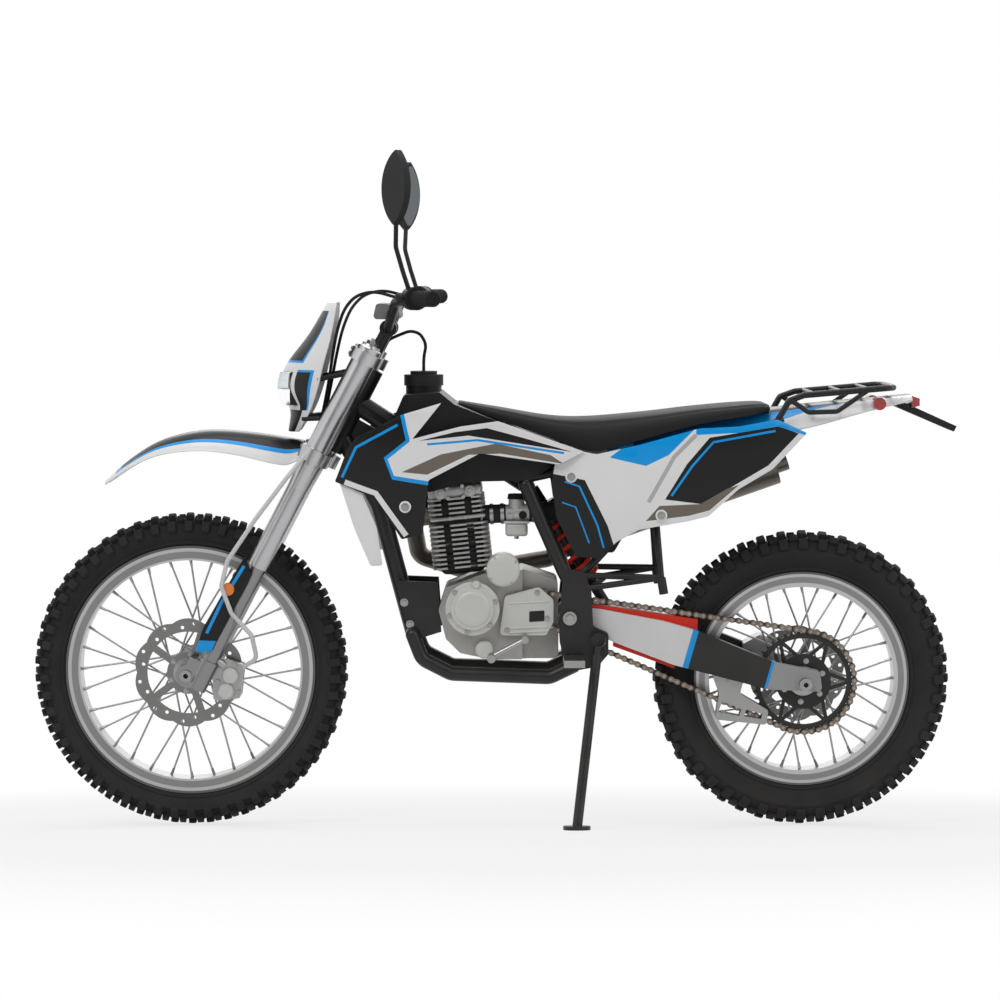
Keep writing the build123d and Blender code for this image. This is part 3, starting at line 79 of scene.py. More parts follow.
def on_steer(back, side, up):
    """A point given along and across the steering axis, in the upright frame."""
    return STEER_SEAT + AXIS_BACK * back + AXIS_UP * up + Vector((0.0, side, 0.0))


# %% [markdown]
# ## Camera
# The photograph looks square on at the left side, from a little above seat height and about six metres away
# through a long lens. The bike in this scene leans towards the camera, so the camera is placed in the
# upright frame and leaned with it: it ends up lower, and the outline matches the photograph.

# %% Camera
PHOTO_SCALE = 2.25
CAMERA_DISTANCE = 6300.0
CAMERA_HEIGHT = 1240.0
AIM_X = 9.0
AIM_Z = 735.75
SENSOR = 36.0
IMAGE_PX = 1000.0
CLIP_END = 100.0


def put_in_scene(name, data):
    made = bpy.data.objects.new(name, data)
    bpy.context.scene.collection.objects.link(made)
    return made


def look(thing, place, aim):
    """Stands a camera or a lamp at a place and turns it to face a point."""
    thing.location = place
    thing.rotation_euler = (Vector(aim) - Vector(place)).to_track_quat("-Z", "Y").to_euler()


def make_camera():
    eye = ROW @ Vector((AIM_X, -CAMERA_DISTANCE, CAMERA_HEIGHT))
    data = bpy.data.cameras.new("photo_camera")
    data.sensor_width = SENSOR
    data.lens = SENSOR * hypot(CAMERA_DISTANCE, CAMERA_HEIGHT - AIM_Z) / PHOTO_SCALE / IMAGE_PX
    data.clip_end = CLIP_END
    camera = put_in_scene("photo_camera", data)
    look(camera, eye, ROW @ Vector((AIM_X, 0.0, AIM_Z)))
    bpy.context.scene.camera = camera
    print("camera at", [round(c, 3) for c in eye], "lens", round(data.lens, 1))


make_camera()

# %% [markdown]
# ## Helpers for nodes and meshes
# A shader tree can be wired one node and one link at a time, but that is long to read. `add_node` makes a
# node, sets it and fills its inputs in one call: a plain value is set, and a socket is linked. `as_mesh`
# turns a finished bmesh into mesh data.

# %% Node and mesh helpers


def feed(node, inputs):
    """Gives each named input of a node its value, or links a socket to it."""
    for name, value in inputs.items():
        if isinstance(value, bpy.types.NodeSocket):
            node.id_data.links.new(value, node.inputs[name])
        else:
            node.inputs[name].default_value = value


def add_node(tree, kind, inputs=None, **settings):
    node = tree.nodes.new("ShaderNode" + kind)
    for name, value in settings.items():
        setattr(node, name, value)
    feed(node, inputs or {})
    return node


def as_mesh(bm, name, material=None):
    """Keeps a finished bmesh as a mesh, all in one finish if its number is given."""
    if material is not None:
        for face in bm.faces:
            face.material_index = material
    mesh = bpy.data.meshes.new(name)
    bm.to_mesh(mesh)
    bm.free()
    return mesh


# %% [markdown]
# ## Light, floor and background
# A product picture on white: one large soft key from the front left and above, a wide fill, a strip behind
# for the edges of the tank and tyres, and a lamp overhead. The world is white only to the camera and to
# mirrors, and pale grey as a light, so that the colours of the bike render about as written.

# %% World and floor
FLOOR_SIZE = 40.0
FLOOR_SHADE = 0.8
FLOOR_GLOW = 0.72
WHITE_FROM = 1.2
WHITE_BY = 2.6
WORLD_LIGHT = 0.42


def seen_white(tree, shader, white, output):
    """Shows white to the camera, to glossy and to glass rays, and the plain shader to all others."""
    rays = add_node(tree, "LightPath").outputs
    seen = rays["Is Camera Ray"]
    for ray in ("Is Glossy Ray", "Is Transmission Ray"):
        seen = add_node(tree, "Math", {0: seen, 1: rays[ray]}, operation="MAXIMUM").outputs[0]
    mix = add_node(tree, "MixShader", {0: seen, 1: shader, 2: white})
    add_node(tree, output, {"Surface": mix.outputs[0]})


def make_world():
    world = bpy.data.worlds.new("studio")
    world.use_nodes = True
    tree = world.node_tree
    tree.nodes.clear()
    light = add_node(tree, "Background", {"Strength": WORLD_LIGHT})
    white = add_node(tree, "Background", {"Color": (1, 1, 1, 1)})
    seen_white(tree, light.outputs[0], white.outputs[0], "OutputWorld")
    bpy.context.scene.world = world


def floor_material():
    """Pale and lit near the bike, where it keeps the shadow, and plain white further out."""
    material = bpy.data.materials.new("studio_floor")
    material.use_nodes = True
    tree = material.node_tree
    tree.nodes.clear()
    paint = add_node(tree, "BsdfDiffuse", {"Color": (FLOOR_SHADE, FLOOR_SHADE, FLOOR_SHADE, 1)}).outputs[0]
    glow = add_node(tree, "Emission").outputs[0]
    where = add_node(tree, "TexCoord").outputs["Object"]
    reach = add_node(tree, "VectorMath", {0: where}, operation="LENGTH").outputs["Value"]
    fade = {"Value": reach, "From Min": WHITE_FROM, "From Max": WHITE_BY, "To Min": FLOOR_GLOW}
    share = add_node(tree, "MapRange", fade, interpolation_type="SMOOTHSTEP").outputs[0]
    mix = add_node(tree, "MixShader", {0: share, 1: paint, 2: glow}).outputs[0]
    seen_white(tree, paint, mix, "OutputMaterial")
    return material


def make_floor():
    bm = bmesh.new()
    bmesh.ops.create_circle(bm, cap_ends=True, segments=64, radius=FLOOR_SIZE / 2)
    floor = put_in_scene("studio_floor", as_mesh(bm, "studio_floor"))
    floor.data.materials.append(floor_material())


bpy.context.scene.view_settings.view_transform = "Standard"
make_world()
make_floor()
print("floor across, m:", FLOOR_SIZE)

# %% [markdown]
# Glossy black plastic in an all-white room would mirror white and look grey. A photographer stands a dark
# card opposite, and so does this scene: the sides of the bike mirror it, while the camera doesn't see it.
# The lamps are large rectangles, because small ones would leave hard shadows.

# %% Card and lamps
CARD_HALF_W = 7.0
CARD_Y = -8.5
CARD_LOW = 0.05
CARD_TOP = 3.4
CARD_BLACK = (0.02, 0.02, 0.02, 1)


def make_dark_card():
    """A black card behind the camera. The bike's sides mirror it: black stays black and metal has depth."""
    bm = bmesh.new()
    corners = [(-1, CARD_LOW), (1, CARD_LOW), (1, CARD_TOP), (-1, CARD_TOP)]
    bm.faces.new([bm.verts.new((side * CARD_HALF_W, CARD_Y, z)) for side, z in corners])
    card = put_in_scene("dark_card", as_mesh(bm, "dark_card"))
    card.visible_camera = False
    material = bpy.data.materials.new("dark_card")
    material.use_nodes = True
    feed(material.node_tree.nodes["Principled BSDF"], {"Base Color": CARD_BLACK})
    card.data.materials.append(material)


def area_light(name, place, aim, size, power):
    data = bpy.data.lights.new(name, "AREA")
    data.shape = "RECTANGLE"
    data.size, data.size_y = size
    data.energy = power
    look(put_in_scene(name, data), place, aim)


make_dark_card()
area_light("key", (-2.2, -3.4, 3.6), (0, 0, 0.6), (2.6, 2.0), 78)
area_light("fill", (2.8, -3.0, 2.2), (0, 0, 0.6), (2.4, 2.4), 30)
area_light("rim", (0.3, 3.2, 3.0), (0, 0, 0.7), (4.0, 1.2), 50)
area_light("top", (0, -0.2, 4.0), (0, 0, 0), (3.0, 1.6), 34)
print("lamps:", [lamp.name for lamp in bpy.data.lights])

# %% [markdown]
# ## One group for every worn surface
# Real paint, rubber and cast metal are never one flat value. The noise could be wired into each material,
# but then every change has to be made in all of them. One group takes a colour and puts out a slightly
# mottled colour, an uneven roughness and a fine bumped normal. Road dust gathers on what is low.

# %% Worn surface group
MOTTLE_SCALE = 14.0
DUST_TOP = 0.75
DUST_FULL = 0.1
ROAD_DUST = (0.24, 0.21, 0.18, 1)
GRAIN_HEIGHT = 0.0006
COAT_ROUGHNESS = 0.08


def worn_group():
    group = bpy.data.node_groups.new("worn_surface", "ShaderNodeTree")
    sockets = group.interface
    sockets.new_socket("Colour", in_out="INPUT", socket_type="NodeSocketColor")
    for name in ("Roughness", "Spread", "Grain Scale", "Grain Depth", "Mottle", "Dust"):
        sockets.new_socket(name, in_out="INPUT", socket_type="NodeSocketFloat")
    for name, kind in (("Colour", "Color"), ("Roughness", "Float"), ("Normal", "Vector")):
        sockets.new_socket(name, in_out="OUTPUT", socket_type="NodeSocket" + kind)
    enter = group.nodes.new("NodeGroupInput").outputs
    where = add_node(group, "TexCoord").outputs["Object"]
    scales = ((MOTTLE_SCALE, 4.0), (enter["Grain Scale"], 3.0))
    broad, fine = [
        add_node(group, "TexNoise", {"Vector": where, "Scale": scale, "Detail": detail}).outputs["Fac"]
        for scale, detail in scales
    ]

    darkest = add_node(group, "Math", {0: 1.0, 1: enter["Mottle"]}, operation="SUBTRACT").outputs[0]
    shades = {"Value": broad, "From Min": 0.3, "From Max": 0.7, "To Min": darkest, "To Max": 1.0}
    shade = add_node(group, "MapRange", shades).outputs[0]
    tint = add_node(group, "VectorMath", {0: enter["Colour"], "Scale": shade}, operation="SCALE").outputs[0]

    height = add_node(group, "SeparateXYZ", {0: where}).outputs["Z"]
    dust_range = {"Value": height, "From Min": DUST_TOP, "From Max": DUST_FULL}
    low = add_node(group, "MapRange", dust_range).outputs[0]
    patch = add_node(group, "Math", {0: low, 1: broad}, operation="MULTIPLY").outputs[0]
    amount = add_node(group, "Math", {0: patch, 1: enter["Dust"]}, operation="MULTIPLY", use_clamp=True)
    dust_mix = {"Factor": amount.outputs[0], "A": tint, "B": ROAD_DUST}
    dusty = add_node(group, "Mix", dust_mix, data_type="RGBA")

    spread = {0: broad, 1: enter["Spread"], 2: enter["Roughness"]}
    uneven = add_node(group, "Math", spread, operation="MULTIPLY_ADD")
    relief = {"Distance": GRAIN_HEIGHT, "Height": fine, "Strength": enter["Grain Depth"]}
    bump = add_node(group, "Bump", relief)
    feed(group.nodes.new("NodeGroupOutput"), {
        "Colour": dusty.outputs["Result"], "Roughness": uneven.outputs[0], "Normal": bump.outputs["Normal"],
    })
    return group


WORN = worn_group()
print("nodes in the worn surface group:", len(WORN.nodes))


def finish(name, colour, rough, metal=0.0, spread=0.12, grain=(900.0, 0.15), mottle=0.08, dust=0.0, coat=0.0,
           shine=0.5):
    """A Principled material fed by the worn surface group."""
    material = bpy.data.materials.new(name)
    material.use_nodes = True
    tree = material.node_tree
    wear = {"Colour": (*colour, 1), "Roughness": rough - spread / 2, "Spread": spread,
            "Grain Scale": grain[0], "Grain Depth": grain[1], "Mottle": mottle, "Dust": dust}
    worn = add_node(tree, "Group", node_tree=WORN)
    feed(worn, wear)
    feed(tree.nodes["Principled BSDF"], {
        "Metallic": metal, "Coat Weight": coat, "Specular IOR Level": shine,
        "Coat Roughness": COAT_ROUGHNESS, "Base Color": worn.outputs["Colour"],
        "Roughness": worn.outputs["Roughness"], "Normal": worn.outputs["Normal"],
    })
    material.diffuse_color = (*colour, 1)
    return material


# %% [markdown]
# ## The bike's finishes
# Each finish is named for what it covers. Bare metals are metallic, castings less so because they are dull
# and oxidised, and painted ones not at all. One finish for all of them would be quicker, but then the fork,
# the engine and the frame would look cut from one bar.

# %% Metals
FRONT_RIM_ALLOY, REAR_RIM_ALLOY = [
    finish(name, (0.38, 0.38, 0.38), 0.34, metal=1.0, mottle=0.1, dust=0.15)
    for name in ("front_rim_alloy", "rear_rim_alloy")
]
DISC_STEEL = finish("disc_steel", (0.22, 0.22, 0.215), 0.36, metal=1.0, grain=(1500, 0.3))
BLACK_STEEL = finish("sprocket_black", (0.014, 0.014, 0.015), 0.46, spread=0.16, mottle=0.2, dust=0.2,
                     shine=0.3)
FORK_ALLOY = finish("fork_alloy", (0.5, 0.5, 0.51), 0.3, metal=1.0, mottle=0.05)
FORK_STEEL = finish("fork_slider_steel", (0.27, 0.27, 0.27), 0.3, metal=1.0)
STEEL = finish("bright_steel", (0.36, 0.36, 0.355), 0.32, metal=1.0, mottle=0.12)
BAR_BLACK = finish("bar_black", (0.011, 0.011, 0.011), 0.4, mottle=0.15, shine=0.3)
CALIPER = finish("caliper_alloy", (0.4, 0.4, 0.4), 0.4, metal=0.9, grain=(900, 0.4))
FRAME_BLACK = finish("frame_black", (0.01, 0.01, 0.011), 0.38, mottle=0.15, dust=0.2, coat=0.06, shine=0.3)
ARM_PAINT = finish("arm_paint", (0.4, 0.4, 0.4), 0.4, grain=(900, 0.2), dust=0.15, shine=0.35)
ALLOY = finish("plain_alloy", (0.38, 0.38, 0.375), 0.42, metal=0.9, grain=(900, 0.3), dust=0.15)
CHAIN_STEEL = finish("chain_steel", (0.055, 0.045, 0.037), 0.46, metal=0.6, spread=0.2, mottle=0.3)
LINK_STEEL = finish("link_steel", (0.27, 0.21, 0.165), 0.42, metal=0.8, spread=0.2, mottle=0.3)
SHOCK_STEEL = finish("shock_black", (0.016, 0.016, 0.016), 0.38, shine=0.3)
CAST = finish("cast_alloy", (0.42, 0.41, 0.39), 0.5, metal=0.5, grain=(700, 0.6), mottle=0.2, dust=0.15)
FIN_ALLOY = finish("fin_alloy", (0.5, 0.485, 0.455), 0.42, metal=0.55, grain=(700, 0.6), mottle=0.25,
                   dust=0.15)
COVER_ALLOY = finish("cover_alloy", (0.6, 0.6, 0.575), 0.42, metal=0.2, grain=(800, 0.25), mottle=0.06)
EXHAUST = finish("exhaust_steel", (0.17, 0.15, 0.13), 0.4, metal=0.9, mottle=0.25)
CHROME = finish("reflector_chrome", (0.75, 0.75, 0.76), 0.1, metal=1.0, spread=0.04, mottle=0.02)
MIRROR = finish("mirror_glass", (0.14, 0.15, 0.16), 0.05, metal=1.0, spread=0.02, mottle=0.02,
                grain=(400, 0.0))

# %% [markdown]
# Body panels are glossy moulded plastic under a thin printed film, so their coat is light and their grain
# very fine. Plain black mouldings are coarser and duller. The lamp's lens could be a pale grey plate, but
# one that lets light through shows the bowl behind it.

# %% Plastics and lamps
WHITE = finish("panel_white", (0.8, 0.8, 0.8), 0.3, mottle=0.03, grain=(400, 0.05), coat=0.3)
BLUE = finish("panel_blue", (0.0, 0.33, 0.82), 0.32, mottle=0.05, grain=(400, 0.05), coat=0.15, shine=0.3)
BLACK = finish("panel_black", (0.006, 0.006, 0.007), 0.36, mottle=0.1, grain=(400, 0.05), coat=0.08,
               shine=0.25)
TAUPE = finish("panel_taupe", (0.165, 0.14, 0.115), 0.4, mottle=0.08, grain=(400, 0.05), coat=0.1, shine=0.3)
SILVER = finish("panel_silver", (0.45, 0.45, 0.45), 0.35, mottle=0.04, grain=(400, 0.05), coat=0.2)
BLACK_PLASTIC = finish("black_plastic", (0.013, 0.013, 0.014), 0.56, grain=(1100, 0.5), mottle=0.15,
                       dust=0.1, shine=0.25)
RED = finish("slider_red", (0.68, 0.025, 0.008), 0.44, mottle=0.1, shine=0.35)
LAMP_RED = finish("lamp_red", (0.42, 0.008, 0.008), 0.15, mottle=0.1, coat=0.6)
AMBER = finish("reflector_amber", (0.85, 0.22, 0.01), 0.2, mottle=0.1, coat=0.4)
TANK = finish("tank_black", (0.01, 0.01, 0.01), 0.46, grain=(500, 0.25), mottle=0.1, shine=0.22)
CLEAR = finish("lamp_lens", (0.92, 0.95, 0.97), 0.06, spread=0.04, mottle=0.02)
feed(CLEAR.node_tree.nodes["Principled BSDF"], {"Transmission Weight": 0.92})

# %% [markdown]
# Rubber and vinyl have a deep grain and no coat, so they stay dull and dark even where the lamps strike
# them. A plain black would do on the tyres' walls, but their blocks would then run together.

# %% Rubber, foam and vinyl
RUBBER = finish("tyre_rubber", (0.02, 0.02, 0.021), 0.8, grain=(700, 0.5), mottle=0.25, dust=0.1, shine=0.25)
GRIP = finish("grip_rubber", (0.014, 0.014, 0.014), 0.84, grain=(600, 0.6), shine=0.2)
FOAM = finish("bar_pad_vinyl", (0.16, 0.16, 0.165), 0.6, grain=(1200, 0.4))
HOSE_WHITE = finish("hose_sleeve", (0.66, 0.66, 0.66), 0.5)
SEAT_VINYL = finish("seat_vinyl", (0.011, 0.011, 0.011), 0.64, grain=(500, 0.9), mottle=0.1, shine=0.2)
print("materials so far:", len(bpy.data.materials))

# %% [markdown]
# The rims carry rings of painted highlight and painted shade that stand for the ribs on their sides, and the
# swinging arm is painted in bands. Both could be cut into a mesh. A colour ramp along a line, or round an
# axle, is lighter and leaves the solids as they are.

# %% Bands of colour


def paint_bands(tree, value, zones):
    """Feeds a finish plain bands of colour: (value from which it holds, colour) pairs."""
    ramp = tree.nodes.new("ShaderNodeValToRGB")
    ramp.color_ramp.interpolation = "CONSTANT"
    marks = ramp.color_ramp.elements
    while len(marks) < len(zones):
        marks.new(0.5)
    for mark, (place, colour) in zip(marks, zones):
        mark.position = place
        mark.color = (*colour, 1)
    feed(ramp, {0: value})
    worn = next(node for node in tree.nodes if node.type == "GROUP")
    feed(worn, {"Colour": ramp.outputs[0]})


def colour_zones(material, start, end, zones):
    """Bands along a line of the upright bike, by the share of the line."""
    tree = material.node_tree
    foot = ROW @ start
    along = ROW @ end - foot
    where = add_node(tree, "TexCoord").outputs["Object"]
    offset = add_node(tree, "VectorMath", {0: where, 1: foot}, operation="SUBTRACT").outputs[0]
    line = {0: offset, 1: along / along.length_squared}
    paint_bands(tree, add_node(tree, "VectorMath", line, operation="DOT_PRODUCT").outputs["Value"], zones)


def ring_zones(material, axle, outer_r, zones):
    """Bands round an axle, by the share of an outer radius. The length of a cross product is the reach."""
    tree = material.node_tree
    across = (ROW.to_3x3() @ Vector((0, 1, 0))).normalized() / (outer_r * MM)
    where = add_node(tree, "TexCoord").outputs["Object"]
    offset = add_node(tree, "VectorMath", {0: where, 1: ROW @ axle}, operation="SUBTRACT").outputs[0]
    swept = add_node(tree, "VectorMath", {0: offset, 1: across}, operation="CROSS_PRODUCT").outputs[0]
    paint_bands(tree, add_node(tree, "VectorMath", {0: swept}, operation="LENGTH").outputs["Value"], zones)


FRONT_RIM_R = 281.0
REAR_RIM_R = 242.0
# Over the rim's own grey: painted highlights on the ribs and the lip, painted shade in the groove and on the
# outer edge.
RIM_HIGHLIGHT_AND_SHADE_RINGS = [(0.0, (0.38, 0.38, 0.38)), (0.84, (0.55, 0.55, 0.55)), (0.895, (0.26, 0.26, 0.26)),
             (0.95, (0.5, 0.5, 0.5)), (0.978, (0.12, 0.12, 0.12))]
ring_zones(FRONT_RIM_ALLOY, FRONT_AXLE, FRONT_RIM_R, RIM_HIGHLIGHT_AND_SHADE_RINGS)
ring_zones(REAR_RIM_ALLOY, REAR_AXLE, REAR_RIM_R, RIM_HIGHLIGHT_AND_SHADE_RINGS)

PAINT_WHITE = (0.74, 0.74, 0.74)
PAINT_BLUE = (0.0, 0.33, 0.82)
PAINT_BLACK = (0.012, 0.012, 0.012)
PAINT_SILVER = (0.34, 0.34, 0.34)
colour_zones(ARM_PAINT, PIVOT, REAR_AXLE, [(0.0, PAINT_WHITE), (0.5, PAINT_BLUE), (0.52, PAINT_BLACK),
                                           (0.84, PAINT_BLUE), (0.855, PAINT_SILVER)])

# %% [markdown]
# Each solid now gets the finish of its real piece. A line for each solid would do the same, but one table
# shows at a glance what is made of what. Solids that a new piece replaces further on are dressed too, so
# that none is left bare.

# %% Dress the solids
NODE_FINISH = {
    "front_tyre": RUBBER, "rear_tyre": RUBBER, "front_rim": FRONT_RIM_ALLOY, "rear_rim": REAR_RIM_ALLOY,
    "front_disc": DISC_STEEL, "rear_disc": DISC_STEEL, "rear_sprocket": BLACK_STEEL,
    "triple_clamps": FORK_ALLOY, "fork_tubes": FORK_ALLOY, "fork_lowers": FORK_STEEL,
    "front_axle": STEEL, "rear_axle": STEEL, "fork_guards": WHITE, "front_fender": WHITE,
    "headlight_mask": WHITE, "shrouds": WHITE, "side_panels": WHITE, "rear_fender": BLUE,
    "handlebar": BAR_BLACK, "grips": GRIP, "bar_controls": BLACK_PLASTIC, "plate_holder": BLACK_PLASTIC,
    "airbox": BLACK_PLASTIC, "fuel_tank": TANK, "tank_cap": BLACK_PLASTIC, "bar_pad": FOAM,
    "headlamp": CLEAR, "front_caliper": CALIPER, "rear_caliper": CALIPER, "brake_hose": HOSE_WHITE,
    "frame_spine": FRAME_BLACK, "frame_cradle": FRAME_BLACK, "pivot_plates": FRAME_BLACK,
    "subframe": FRAME_BLACK, "rear_rack": FRAME_BLACK, "stand_lug": FRAME_BLACK, "side_stand": FRAME_BLACK,
    "swingarm": ARM_PAINT, "chain_guide": ALLOY, "passenger_pegs": FRAME_BLACK, "footpegs": STEEL,
    "chain_slider": RED, "drive_chain": CHAIN_STEEL, "rear_shock": SHOCK_STEEL, "crankcase": CAST,
    "engine_covers": COVER_ALLOY, "cylinder": FIN_ALLOY, "carburettor": FIN_ALLOY, "exhaust": EXHAUST,
    "vent_hose": GRIP, "bar_cables": GRIP, "seat": SEAT_VINYL, "tail_lamp": LAMP_RED, "gear_lever": STEEL,
    "brake_pedal": STEEL,
}

for node_name, material in NODE_FINISH.items():
    mesh = nodes[node_name].data
    mesh.materials.clear()
    mesh.materials.append(material)
print("nodes without a finish:", sorted(set(nodes) - set(NODE_FINISH)))

# %% [markdown]
# ## Helpers for new pieces
# Every new piece is a bmesh drawn upright in millimetres. `piece` leans it with the one matrix, gives it its
# materials, smooths it with sharp creases kept, and tells the frame which body carries it. `curve_at` is the
# draughtsman's spline: a smooth line through a few points, used for outlines that sweep.

# %% Helpers


def curve_at(points, x):
    """Height of a smooth line through (x, value) points."""
    if x <= points[0][0]:
        return points[0][1]
    if x >= points[-1][0]:
        return points[-1][1]
    i = max(k for k in range(len(points) - 1) if points[k][0] <= x)
    x0, y0 = points[i]
    x1, y1 = points[i + 1]
    before = points[i - 1] if i > 0 else points[i]
    after = points[i + 2] if i + 2 < len(points) else points[i + 1]
    slope0 = (y1 - before[1]) / (x1 - before[0])
    slope1 = (after[1] - y0) / (after[0] - x0)
    t = (x - x0) / (x1 - x0)
    run = x1 - x0
    return (y0 * (1 + 2 * t) * (1 - t) ** 2 + slope0 * run * t * (1 - t) ** 2
            + y1 * t * t * (3 - 2 * t) + slope1 * run * t * t * (t - 1))


def piece(name, bm, materials, body, stands_for=(), crease=35.0):
    """Leans a finished bmesh into the frame and hangs it on its body."""
    bmesh.ops.remove_doubles(bm, verts=bm.verts, dist=0.005)
    bmesh.ops.recalc_face_normals(bm, faces=bm.faces)
    bmesh.ops.transform(bm, matrix=ROW, verts=bm.verts)
    mesh = as_mesh(bm, name)
    for material in materials:
        mesh.materials.append(material)
    mesh.shade_smooth()
    mesh.set_sharp_from_angle(angle=radians(crease))
    made = put_in_scene(name, mesh)
    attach(made, body)
    if stands_for:
        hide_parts(*stands_for)
    print(name, "faces", len(mesh.polygons))
    return made


def stamp(bm, template, matrix):
    """Adds a copy of a small template mesh at a place."""
    copy = template.copy()
    copy.transform(matrix)
    bm.from_mesh(copy)
    bpy.data.meshes.remove(copy)


def merge(bm, part, place=Matrix.Identity(4), material=None):
    """Adds a bmesh that was drawn on its own to a piece."""
    stamp(bm, as_mesh(part, "part", material), place)


def pointing(along):
    """The turn that lays +Z along a direction."""
    return Vector(along).to_track_quat("Z", "Y").to_matrix().to_4x4()


# %% [markdown]
# The next helpers shape a bmesh with one operator or two: a bar between two points, a line spun round an
# axis, an outline drawn out into a plate, a mirror image, a rounded rim, and a sheet given its wall.

# %% Shaping helpers


def tube(bm, start, end, radius, sides=10, tip_radius=None, material=0):
    """A round bar, or a cone, between two points."""
    start = Vector(start)
    end = Vector(end)
    place = Matrix.Translation((start + end) / 2) @ pointing(end - start)
    tip = radius if tip_radius is None else tip_radius
    made = bmesh.ops.create_cone(bm, cap_ends=True, segments=sides, radius1=radius, radius2=tip,
                                 depth=(end - start).length, matrix=place)
    for face in {face for vert in made["verts"] for face in vert.link_faces}:
        face.material_index = material


def spin_line(bm, points, axis, steps):
    """Turns a line of points once round an axis through the origin."""
    line = [bm.verts.new(point) for point in points]
    rungs = [bm.edges.new(pair) for pair in zip(line, line[1:])]
    bmesh.ops.spin(bm, geom=line + rungs, cent=(0, 0, 0), axis=axis, angle=2 * pi, steps=steps,
                   use_merge=True)


def draw_out(bm, vec):
    """Turns a flat outline into a plate."""
    risen = bmesh.ops.extrude_face_region(bm, geom=bm.faces[:])["geom"]
    bmesh.ops.translate(bm, vec=vec, verts=[item for item in risen if isinstance(item, bmesh.types.BMVert)])
    bmesh.ops.recalc_face_normals(bm, faces=bm.faces)


def add_mirror_image(bm):
    """Doubles what is drawn on the left side onto the right."""
    copy = bmesh.ops.duplicate(bm, geom=bm.verts[:] + bm.edges[:] + bm.faces[:])["geom"]
    verts = [item for item in copy if isinstance(item, bmesh.types.BMVert)]
    faces = [item for item in copy if isinstance(item, bmesh.types.BMFace)]
    bmesh.ops.scale(bm, vec=(1, -1, 1), verts=verts)
    bmesh.ops.reverse_faces(bm, faces=faces)


def soften_rim(bm, offset, segments=2, angle=60.0):
    """Rounds the sharp edges of a solid sheet."""
    limit = radians(angle)
    edges = [edge for edge in bm.edges if len(edge.link_faces) == 2 and edge.calc_face_angle() > limit]
    bmesh.ops.bevel(bm, geom=edges, offset=offset, offset_type="OFFSET", segments=segments, profile=0.5,
                    affect="EDGES", material=-1, clamp_overlap=True)


def thicken(bm, outward, wall, rim):
    """Faces a sheet outward, gives it its wall and rounds its rim."""
    bmesh.ops.recalc_face_normals(bm, faces=bm.faces)
    if sum(face.normal.dot(Vector(outward)) * face.calc_area() for face in bm.faces) < 0:
        bmesh.ops.reverse_faces(bm, faces=bm.faces)
    bmesh.ops.solidify(bm, geom=bm.faces[:], thickness=wall)
    soften_rim(bm, rim)


# %% [markdown]
# ## Moulded panels and their colours
# The shrouds and side panels are thin mouldings with film over them. Each starts as one flat face with the
# side view's outline. Its corners are rounded, it is sliced into squares so that it can bend, and the edge
# of each colour field is cut into it, so that the colours end on crisp lines. Then it is bent to the plan
# line and given its thickness. The colour fields are a plain layout of bands and blocks.

# %% Panel helpers


def inside(x, z, outline):
    """Whether a point lies in a side-view outline."""
    hit = False
    for (x0, z0), (x1, z1) in zip(outline, outline[1:] + outline[:1]):
        if (z0 > z) != (z1 > z) and x < x0 + (z - z0) * (x1 - x0) / (z1 - z0):
            hit = not hit
    return hit


def cut(bm, point, normal, near=None):
    """Slices the sheet on a plane, or only the faces near a stretch of it."""
    faces = bm.faces[:]
    if near:
        (x0, z0), (x1, z1) = near
        low_x, high_x = min(x0, x1) - 1, max(x0, x1) + 1
        low_z, high_z = min(z0, z1) - 1, max(z0, z1) + 1
        faces = [
            face for face in faces
            if min(vert.co.x for vert in face.verts) < high_x
            and max(vert.co.x for vert in face.verts) > low_x
            and min(vert.co.z for vert in face.verts) < high_z
            and max(vert.co.z for vert in face.verts) > low_z
        ]
    edges = {edge for face in faces for edge in face.edges}
    verts = {vert for face in faces for vert in face.verts}
    geom = list(verts) + list(edges) + faces
    bmesh.ops.bisect_plane(bm, geom=geom, dist=0.02, plane_co=point, plane_no=normal)


def flat_panel(outline, corner, step, fields):
    """A sliced side-view sheet whose faces carry the index of the last field that holds them."""
    bm = bmesh.new()
    verts = [bm.verts.new((x, 0.0, z)) for x, z in outline]
    bm.faces.new(verts)
    bmesh.ops.bevel(bm, geom=verts, offset=corner, offset_type="OFFSET", segments=3, profile=0.5,
                    affect="VERTICES", material=-1, clamp_overlap=True)
    for axis, normal in ((0, (1, 0, 0)), (2, (0, 0, 1))):
        values = [vert.co[axis] for vert in bm.verts]
        count = int((max(values) - min(values)) / step)
        for i in range(1, count + 1):
            spot = [0.0, 0.0, 0.0]
            spot[axis] = min(values) + i * (max(values) - min(values)) / (count + 1)
            cut(bm, spot, normal)
    for index, field in fields:
        for (x0, z0), (x1, z1) in zip(field, field[1:] + field[:1]):
            cut(bm, (x0, 0, z0), (z1 - z0, 0, x0 - x1), near=((x0, z0), (x1, z1)))
    for face in bm.faces:
        middle = face.calc_center_median()
        for index, field in fields:
            if inside(middle.x, middle.z, field):
                face.material_index = index
    return bm


def band(line, width):
    """A colour stripe of even width along a side-view line."""
    upper = []
    lower = []
    for i, (x, z) in enumerate(line):
        x0, z0 = line[max(i - 1, 0)]
        x1, z1 = line[min(i + 1, len(line) - 1)]
        length = hypot(x1 - x0, z1 - z0)
        across = ((z0 - z1) / length * width / 2, (x1 - x0) / length * width / 2)
        upper.append((x + across[0], z + across[1]))
        lower.append((x - across[0], z - across[1]))
    return upper + lower[::-1]


def bend_panel(bm, plan, crown, wall):
    """Moves the flat sheet out to its plan line, tucks its edges in, and gives it its wall."""
    low = min(vert.co.z for vert in bm.verts)
    high = max(vert.co.z for vert in bm.verts)
    for vert in bm.verts:
        share = (vert.co.z - low) / (high - low) * 2 - 1
        vert.co.y = curve_at(plan, vert.co.x) + crown * share * share
    thicken(bm, LEFT, wall, 1.0)


